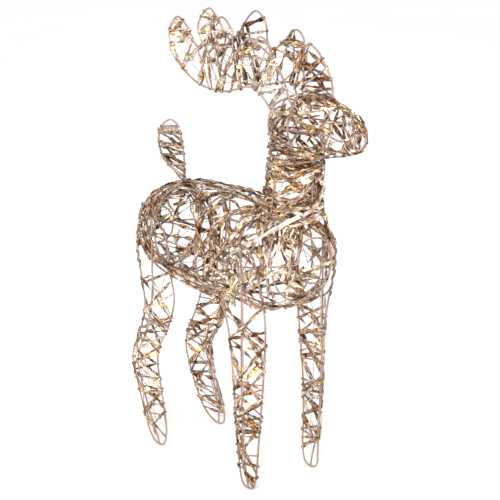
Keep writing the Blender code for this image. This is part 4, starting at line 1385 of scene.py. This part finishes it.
NECK_ROUND = [
    {"from": 1.3, "to": 5.7, "count": 15, "strands": 2, "bends": 7, "lean": 0.18, "jitter": 0.18},
    {"from": 2.1, "to": 4.5, "count": 7, "strands": 2, "bends": 6, "lean": 0.12, "jitter": 0.12,
     "width": (4, 9.5)},
    {"from": 0.0, "to": 2.8, "count": 5, "strands": 2, "bends": 3, "lean": 0.6, "lengthwise": True},
]
HEAD_ROUND = [
    {"from": 0.2, "to": 5.9, "count": 2, "bends": 5, "lean": 0.5, "jitter": 0.3},
    {"from": 4.2, "to": 6.0, "count": 4, "bends": 5, "lean": 0.3, "jitter": 0.3, "width": (3, 6.5)},
    {"from": 0.3, "to": 5.8, "count": 3, "bends": 2, "lean": 0.9, "jitter": 0.5, "width": (4.5, 9)},
    {"from": 0.0, "to": 6.0, "count": 3, "bends": 6, "lean": 0.4, "lengthwise": True,
     "over_ends": True},
]
# The main bundles laid on the cages: (ribbons, width, tone, places as (station, degrees round)).
# Degrees count from the left side over the back: 90 is the top, 180 the right side, 270 the belly.
LAID_ON_TORSO = [
    (4, 9, 0.66, [(1.8, 80), (1.6, 100), (1.6, 126), (1.7, 150), (1.4, 170)]),
    (2, 7, 0.50, [(1.9, 80), (3.0, 120), (3.6, 141), (3.5, 165), (3.2, 183)]),
    (2, 6, 0.42, [(2.6, 141), (3.1, 123), (3.5, 105), (3.8, 99)]),
    (3, 9, 0.74, [(2.4, 207), (3.0, 207), (3.6, 210), (4.0, 216)]),
    (1, 6, 0.60, [(3.6, 150), (3.7, 171), (4.0, 186)]),
    (2, 6, 0.55, [(4.0, 141), (4.3, 162), (4.2, 183), (4.3, 204)]),
    (2, 7, 0.56, [(4.2, 132), (4.7, 114), (4.8, 90)]),
    (3, 9, 0.56, [(4.8, 90), (5.0, 117), (4.8, 135), (4.8, 150)]),
    (2, 8, 0.80, [(5.3, 126), (5.8, 153), (5.8, 183), (5.7, 225)]),
    (2, 7, 0.55, [(5.2, 243), (5.8, 249), (6.5, 261), (7.0, 312)]),
    (2, 9, 0.76, [(6.1, 105), (6.4, 135), (6.7, 168), (6.4, 198)]),
    (2, 9, 0.72, [(6.0, 85), (6.6, 78), (6.8, 40)]),
    (2, 7, 0.60, [(6.0, 48), (6.7, 30), (6.5, -18)]),
    (2, 7, 0.55, [(6.2, 90), (7.0, 126), (7.0, 186), (6.7, 240)]),
]
# The bundles that pass over the tops of the legs, and how much further out they lie.
LAID_OVER_LEGS = [
    (3, 6, 0.66, [(1.6, 165), (1.8, 183), (2.1, 207), (2.7, 204)]),
    (3, 6, 0.62, [(1.9, 135), (1.9, 162), (1.9, 192)]),
    (1, 7, 0.85, [(4.2, 186), (5.2, 198), (5.2, 231)]),
    (1, 7, 0.80, [(3.9, 240), (5.2, 201), (6.0, 183)]),
    (1, 6, 0.75, [(5.1, 162), (5.3, 180), (5.5, 198)]),
    (2, 7, 0.66, [(1.2, 192), (1.9, 210), (2.8, 219), (3.6, 231)]),
    (2, 7, 0.70, [(4.4, 231), (4.9, 204), (5.3, 186), (5.9, 180)]),
]
OVER_LEGS = 5.0
# The head's bundles, listed like the torso's.
LAID_ON_HEAD = [
    (1, 8, 0.90, [(1.4, 153), (2.1, 150), (3.0, 145), (3.8, 135), (4.2, 105)]),
    (1, 11, 0.72, [(3.2, 160), (3.6, 177), (4.3, 198), (4.5, 215)]),
    (1, 5.5, 0.50, [(2.6, 186), (3.0, 207), (3.3, 222), (3.5, 243)]),
    (1, 5.5, 0.60, [(2.8, 195), (3.2, 204), (3.5, 222)]),
    (1, 8, 0.50, [(3.6, 180), (3.9, 200), (4.2, 228)]),
    (1, 9, 0.66, [(1.9, 240), (2.7, 234), (3.2, 246), (3.6, 255)]),
    (1, 5, 0.48, [(2.6, 186), (3.1, 162), (3.7, 138)]),
    (1, 5.5, 0.52, [(1.4, 159), (2.0, 180), (2.4, 195), (2.6, 198)]),
    (1, 4.5, 0.50, [(1.5, 171), (1.9, 198), (1.8, 225)]),
    (1, 4.5, 0.88, [(4.4, 144), (4.5, 180), (4.8, 201)]),
    (1, 6, 0.58, [(4.0, 153), (4.5, 141), (5.2, 135)]),
    (2, 5.5, 0.50, [(4.4, 105), (5.0, 126), (5.6, 153), (5.8, 198)]),
    (1, 9, 0.55, [(2.2, 150), (2.8, 156), (3.1, 156)]),
    (1, 6, 0.50, [(3.6, 138), (3.6, 159), (4.2, 171)]),
    (3, 6.5, 0.62, [(2.5, 111), (3.2, 108), (3.8, 102), (4.2, 93), (4.7, 72)]),
    (1, 5, 0.78, [(2.6, 120), (3.2, 147)]),
    (2, 5.5, 0.60, [(2.8, 111), (3.5, 135)]),
    (2, 5, 0.55, [(4.5, 213), (5.1, 216), (5.3, 261), (5.7, 291)]),
    (1, 5, 0.60, [(4.7, 87), (5.5, 66), (5.2, -12), (5.3, -51)]),
    (1, 10, 0.84, [(1.4, 150), (2.2, 153), (2.8, 153), (3.3, 141)]),
    (1, 9, 0.78, [(1.8, 87), (2.5, 117), (3.0, 135), (3.2, 147)]),
    (1, 10, 0.82, [(3.5, 165), (3.9, 168), (4.3, 168), (4.8, 165)]),
    (1, 7, 0.58, [(2.1, 132), (2.1, 159), (1.9, 186), (1.4, 216)]),
]
# Single wide pale ribbons that leave the torso's surface: (route, a point inside, width, tone).
WIDE_ON_TORSO = [
    ([(-88, 98, 392), (-77, 126, 411), (-50, 163, 440), (-24, 182, 457)],
     (0, 120, 400), 8, 0.84),
    ([(-26, 190, 458), (0, 194, 474), (26, 182, 494)], (0, 140, 480), 8, 0.66),
    ([(-62, -80, 314), (-42, -48, 293), (-20, -18, 281)], (0, -40, 360), 8, 0.95),
]
# Ribbon on the legs: (top, how far above the leg's bottom it ends, height of a turn, narrowest, widest).
LEG_WINDINGS = [(304, 0, 96, 4.2, 8.6), (286, 20, 118, 4.2, 9.0), (276, 80, 84, 3.8, 7.2)]
# Extra turns in small bands: each leg's bands as (top, bottom), and the height of a turn.
LEG_BANDS = {
    "front_leg_right": [(136, 100), (58, 30)],
    "front_leg_left": [(226, 204), (146, 122), (72, 50)],
    "rear_leg_right": [(192, 170), (128, 104), (92, 70)],
    "rear_leg_left": [(154, 136), (128, 110), (54, 28), (40, 14)],
}
BAND_TURN = 22
BAND_WIDTHS = (3.2, 5.6)
# How high each leg's lowest ribbons end.
LEG_BOTTOMS = {"front_leg_right": 6, "front_leg_left": 22, "rear_leg_right": 12, "rear_leg_left": 24}
# The legs' ribbons are a little browner, as painted shade. The tops of their wires, above this height, are
# bound with ribbon of this width: how far off the wire it lies, how long its turns are, and the steps in
# one.
LEG_PAINTED_SHADE = 0.09
BIND_FROM = 298
BIND_WIDTH = 5.0
BIND_GAP = 0.9
BIND_TURN = 17
BIND_STEPS = 8

# Ribbon laced on the antlers: each row is one ribbon's stops on the wire, as (forward, height).
ANTLER_STOPS = [
    [(-118, 700), (-75, 707), (-113, 668), (-60, 690), (-80, 636), (-42, 680), (-44, 622), (-14, 712),
     (16, 622), (51, 685), (62, 634), (84, 712), (90, 638)],
    [(-114, 712), (-82, 712), (-118, 688), (-66, 696), (-106, 660), (-88, 642)],
    [(-36, 686), (-92, 646), (-48, 684), (-16, 621), (-28, 690), (14, 621), (-16, 708), (30, 724)],
    [(38, 712), (-24, 694), (42, 690), (0, 620), (52, 686), (40, 626)],
    [(70, 702), (104, 690), (60, 674), (108, 668), (64, 652), (100, 644), (72, 636)],
    [(62, 696), (118, 704), (56, 688), (140, 692), (84, 640), (150, 684), (104, 630), (168, 654)],
]
# The points that such a stop can be on lie this far apart, in millimetres.
LACE_SPACING = 3
ANTLER_WIDTHS = (4.6, 9.0)
# Ribbon laced between a long brow tine and the antler's front edge, which is forward of BROW_FRONT.
BROW_FRONT = 108
BROW_STOPS = [
    [(124, 701), (111, 664), (156, 686), (117, 652), (178, 654), (113, 672), (188, 630), (120, 634)],
    [(116, 696), (166, 674), (120, 640), (184, 640), (123, 622)],
]
# Ribbon laced on the tail, in the same way.
TAIL_STOPS = [
    [(-180, 526), (-134, 514), (-190, 496), (-128, 488), (-186, 478), (-127, 470), (-166, 459)],
    [(-134, 520), (-191, 510), (-128, 484), (-192, 498), (-127, 462), (-182, 472), (-130, 455)],
]
TAIL_WIDTHS = (5, 9)
TAIL_TONE = 0.62
# Single wide ribbons on the right antler and the tail, listed like the torso's.
WIDE_ON_ANTLER = [
    ([(-32, 122, 614), (-38, 142, 634), (-40, 162, 652)], (0, 140, 630), 8.5, 0.62),
]
WIDE_ON_TAIL = [
    ([(-2, -193, 512), (-3, -166, 522), (-2, -134, 527)], (20, -166, 515), 10, 0.66),
    ([(-3, -187, 480), (-3, -166, 464), (-2, -142, 453), (0, -122, 448)], (20, -160, 470), 8, 0.64),
]


def build_cages(looks):
    """The torso, neck and head: their wires and the ribbon wound on them. Returns the torso's cage."""
    torso = Cage(TORSO_STATIONS, TORSO_POWER)
    neck = Cage(NECK_STATIONS, NECK_POWER)
    head = Cage(HEAD_STATIONS, HEAD_POWER)
    welded_cage("torso_cage", torso, TORSO_HOOPS, looks["frame"], "torso_frame")
    welded_cage("neck_cage", neck, NECK_HOOPS, looks["frame"], "neck_frame")
    welded_cage("head_cage", head, HEAD_HOOPS, looks["frame"], "head_frame")

    dice = random.Random(TORSO_SEED)
    mesh = new_mesh()
    wind_cage(mesh, dice, torso, TORSO_ACROSS)
    lay_bundles(mesh, dice, torso, LAID_ON_TORSO)
    lay_bundles(mesh, dice, torso, LAID_OVER_LEGS, OVER_LEGS)
    finish_piece("torso_ribbon_across", mesh, looks["ribbon"], "hip_wrap", "belly_wrap")
    mesh = new_mesh()
    wind_cage(mesh, dice, torso, TORSO_ALONG)
    for strip in WIDE_ON_TORSO:
        lay_ribbon(mesh, dice, *strip)
    finish_piece("torso_ribbon_along", mesh, looks["ribbon"], "rump_wrap", "shoulder_wrap", "chest_wrap")

    dice = random.Random(NECK_SEED)
    mesh = new_mesh()
    wind_cage(mesh, dice, Cage(NECK_REACH, NECK_POWER), NECK_ROUND)
    finish_piece("neck_ribbon", mesh, looks["ribbon"], "neck_wrap")

    dice = random.Random(HEAD_SEED)
    mesh = new_mesh()
    wind_cage(mesh, dice, head, HEAD_ROUND)
    lay_bundles(mesh, dice, head, LAID_ON_HEAD)
    finish_piece("head_ribbon", mesh, looks["ribbon"], "skull_wrap", "muzzle_wrap")
    return torso


def build_legs(looks):
    """The four legs, each with its wires and its ribbon. Returns each leg by name."""
    legs = {
        "front_leg_right": Leg(FRONT_LEG_LOOP, FRONT_LEG_OUTER, -1),
        "front_leg_left": Leg(stepped(FRONT_LEG_LOOP), stepped(FRONT_LEG_OUTER), 1),
        "rear_leg_right": Leg(REAR_LEG_LOOP_RIGHT, REAR_LEG_OUTER_RIGHT, -1),
        "rear_leg_left": Leg(REAR_LEG_LOOP_LEFT, REAR_LEG_OUTER_LEFT, 1),
    }
    for number, (name, leg) in enumerate(legs.items()):
        rungs = FRONT_LEG_RUNGS if name.startswith("front") else REAR_LEG_RUNGS
        leg_wires(name + "_wires", leg, rungs, looks["frame"], name + "_frame")
        dice = random.Random(LEG_SEED + number)
        mesh = new_mesh()
        for way in (1, -1):
            for top, above, turn, narrow, wide in LEG_WINDINGS:
                wind_leg(mesh, dice, leg, top, LEG_BOTTOMS[name] + above, turn, narrow, wide, way)
        for top, bottom in LEG_BANDS[name]:
            wind_leg(mesh, dice, leg, top, bottom, BAND_TURN, *BAND_WIDTHS, dice.choice((1, -1)))
        top_arc = [point for point in leg.loop if point.z > BIND_FROM * MM]
        start = max(range(len(top_arc)), key=lambda index: (top_arc[index] - top_arc[index - 1]).length)
        bind_wire(mesh, dice, top_arc[start:] + top_arc[:start], BIND_TURN)
        finish_piece(name + "_ribbon", mesh, looks["ribbon"], name + "_wrap")
    return legs


def build_antler(name, outline_route, brow_route, brow_stops, strips, seed, looks):
    """One antler: its outline with a brow tine, and the ribbon laced across it."""
    outline = smooth(outline_route, WIRE_PIECES)
    brow = smooth(brow_route, WIRE_PIECES)
    mesh = new_mesh()
    add_tube(mesh, outline, WIRE_RADIUS, WIRE_SIDES, guide=SIDEWAYS)
    add_tube(mesh, brow, WIRE_RADIUS, WIRE_SIDES, guide=SIDEWAYS)
    for end in (outline[0], outline[-1], brow[0], brow[-1]):
        add_weld(mesh, end)
    finish_piece(name + "_wires", mesh, looks["frame"], name + "_frame")

    dice = random.Random(seed)
    mesh = new_mesh()
    lace_rows(mesh, dice, resample(outline, LACE_SPACING * MM), ANTLER_STOPS, ANTLER_WIDTHS)
    if brow_stops:
        limit = place(0, BROW_FRONT, 0).y
        front = [point for point in outline[len(outline) // 2:] if point.y < limit]
        wire = resample(brow, LACE_SPACING * MM) + resample(front[::-1], LACE_SPACING * MM)
        lace_rows(mesh, dice, wire, brow_stops, ANTLER_WIDTHS)
    for strip in strips:
        lay_ribbon(mesh, dice, *strip)
    finish_piece(name + "_ribbon", mesh, looks["ribbon"], name + "_wrap")


def build_tail(looks):
    """The tail: a leaf of wire with ribbon laced across it."""
    outline = smooth(TAIL_OUTLINE, WIRE_PIECES, closed=True)
    mesh = new_mesh()
    add_tube(mesh, outline, WIRE_RADIUS, WIRE_SIDES, closed=True, guide=SIDEWAYS)
    add_weld(mesh, outline[0])
    finish_piece("tail_wires", mesh, looks["frame"], "tail_frame")

    dice = random.Random(TAIL_SEED)
    mesh = new_mesh()
    wire = resample(outline, LACE_SPACING * MM, closed=True)
    lace_rows(mesh, dice, wire, TAIL_STOPS, TAIL_WIDTHS, TAIL_TONE)
    for strip in WIDE_ON_TAIL:
        lay_ribbon(mesh, dice, *strip)
    finish_piece("tail_ribbon", mesh, looks["ribbon"], "tail_wrap")


def build_string(looks):
    """The lamp string: cable, lamps and the socket for its lead. Returns the cable's path."""
    path = string_path()
    twisted_pair("lamp_cable", path, looks["cable"], "lamp_string_cable")
    directions = tangents(path, False)
    for number, lamp_place in enumerate(LAMP_PLACES, 1):
        build_lamp(number, *lamp_frame(path, directions, lamp_place), looks)
    mesh = new_mesh()
    back = -directions[0]
    revolve(mesh, SOCKET_SHAPE, path[0] + back * SOCKET_GAP * MM, back, SOCKET_SIDES)
    finish_piece("socket_shell", mesh, looks["socket"], "lead_socket")
    return path


def build_ties(torso, legs, path, look):
    """The ties: cable to spine and legs, and legs to the torso's side wires."""
    reach = WIRE_RADIUS + TIE_SLACK + TIE_RADIUS
    crossed_reach = WIRE_RADIUS * CROSSED_WIRES + TIE_SLACK + TIE_RADIUS
    slanting = Vector((0, 1, 1)).normalized()
    for name, leg in legs.items():
        wire = at_height(leg.outer, LEG_TIE_HEIGHT)
        cable = nearest(path, wire)
        along = (at_height(leg.outer, LEG_TIE_HEIGHT + 4) - wire).normalized()
        names = (name + "_cable_loop", name + "_cable_tie")
        tie_round(names, wire, cable, CABLE_RADIUS, along, reach, look)
        height = LEG_CLIP_HEIGHT[name.split("_")[0]]
        side_wire = beside(torso, at_height(leg.outer, height))
        crossing = at_height(leg.outer, side_wire.z / MM)
        names = (name + "_torso_loop", name + "_torso_tie")
        tie_round(names, side_wire, crossing, WIRE_RADIUS, slanting, crossed_reach, look)
    for number, forward in enumerate(SPINE_TIES, 1):
        station = min(torso.evenly(FINE_STEPS), key=lambda step: abs(torso.centre(step)[0] - forward))
        spine = torso.point(station, TOP)
        names = (f"spine_loop_{number}", f"spine_tie_{number}")
        tie_round(names, spine, nearest(path, spine), CABLE_RADIUS, Vector((0, -1, 0)), reach, look)


def tie_round(names, first, second, second_radius, along, half_depth, look):
    """A tie round two wires that pass each other, square to the direction along."""
    apart = second - first
    apart = apart - along * apart.dot(along)
    across = apart.normalized()
    slack = TIE_SLACK + TIE_RADIUS
    low = -(WIRE_RADIUS + slack) * MM
    high = apart.length + (second_radius + slack) * MM
    middle = first + across * (low + high) / 2
    build_tie(names, (high - low) / 2, half_depth * MM, middle, across, along.cross(across), look)


def nearest(path, spot):
    """The point of a path nearest to a spot."""
    return min(path, key=lambda point: (point - spot).length)


def beside(cage, spot):
    """The point of a cage's side wire that lies level with a spot."""
    side_wire = cage.stringer(0.0 if spot.x > 0 else math.pi, FINE_STEPS)
    return min(side_wire, key=lambda point: abs(point.y - spot.y))


def build():
    """Everything that is seen. Each look is a material with the name of its slot."""
    add_camera()
    looks = {
        "frame": (frame_finish(), "frame_paint"),
        "ribbon": (ribbon_finish(), "ribbon"),
        "cable": (clear_finish("clear_cable_jacket", (0.86, 0.84, 0.80), 0.22, 220.0), "clear_cable"),
        "tie": (clear_finish("clear_tie_nylon", (0.88, 0.87, 0.83), 0.34, 400.0), "clear_tie"),
        "lamp": (clear_finish("lamp_bead_resin", (1.0, 0.90, 0.72), 0.12, 300.0), "lamp_resin"),
        "glow": (glow_finish(), "lamp_resin"),
        "socket": (clear_finish("clear_socket", (0.80, 0.72, 0.62), 0.3, 260.0), "socket_plastic"),
    }
    torso = build_cages(looks)
    legs = build_legs(looks)
    build_antler("antler_right", ANTLER_RIGHT, BROW_RIGHT, [], WIDE_ON_ANTLER, ANTLER_SEED, looks)
    build_antler("antler_left", ANTLER_LEFT, BROW_LEFT, BROW_STOPS, [], ANTLER_SEED + 1, looks)
    build_tail(looks)
    path = build_string(looks)
    build_ties(torso, legs, path, looks["tie"])
    build_stage()


build()
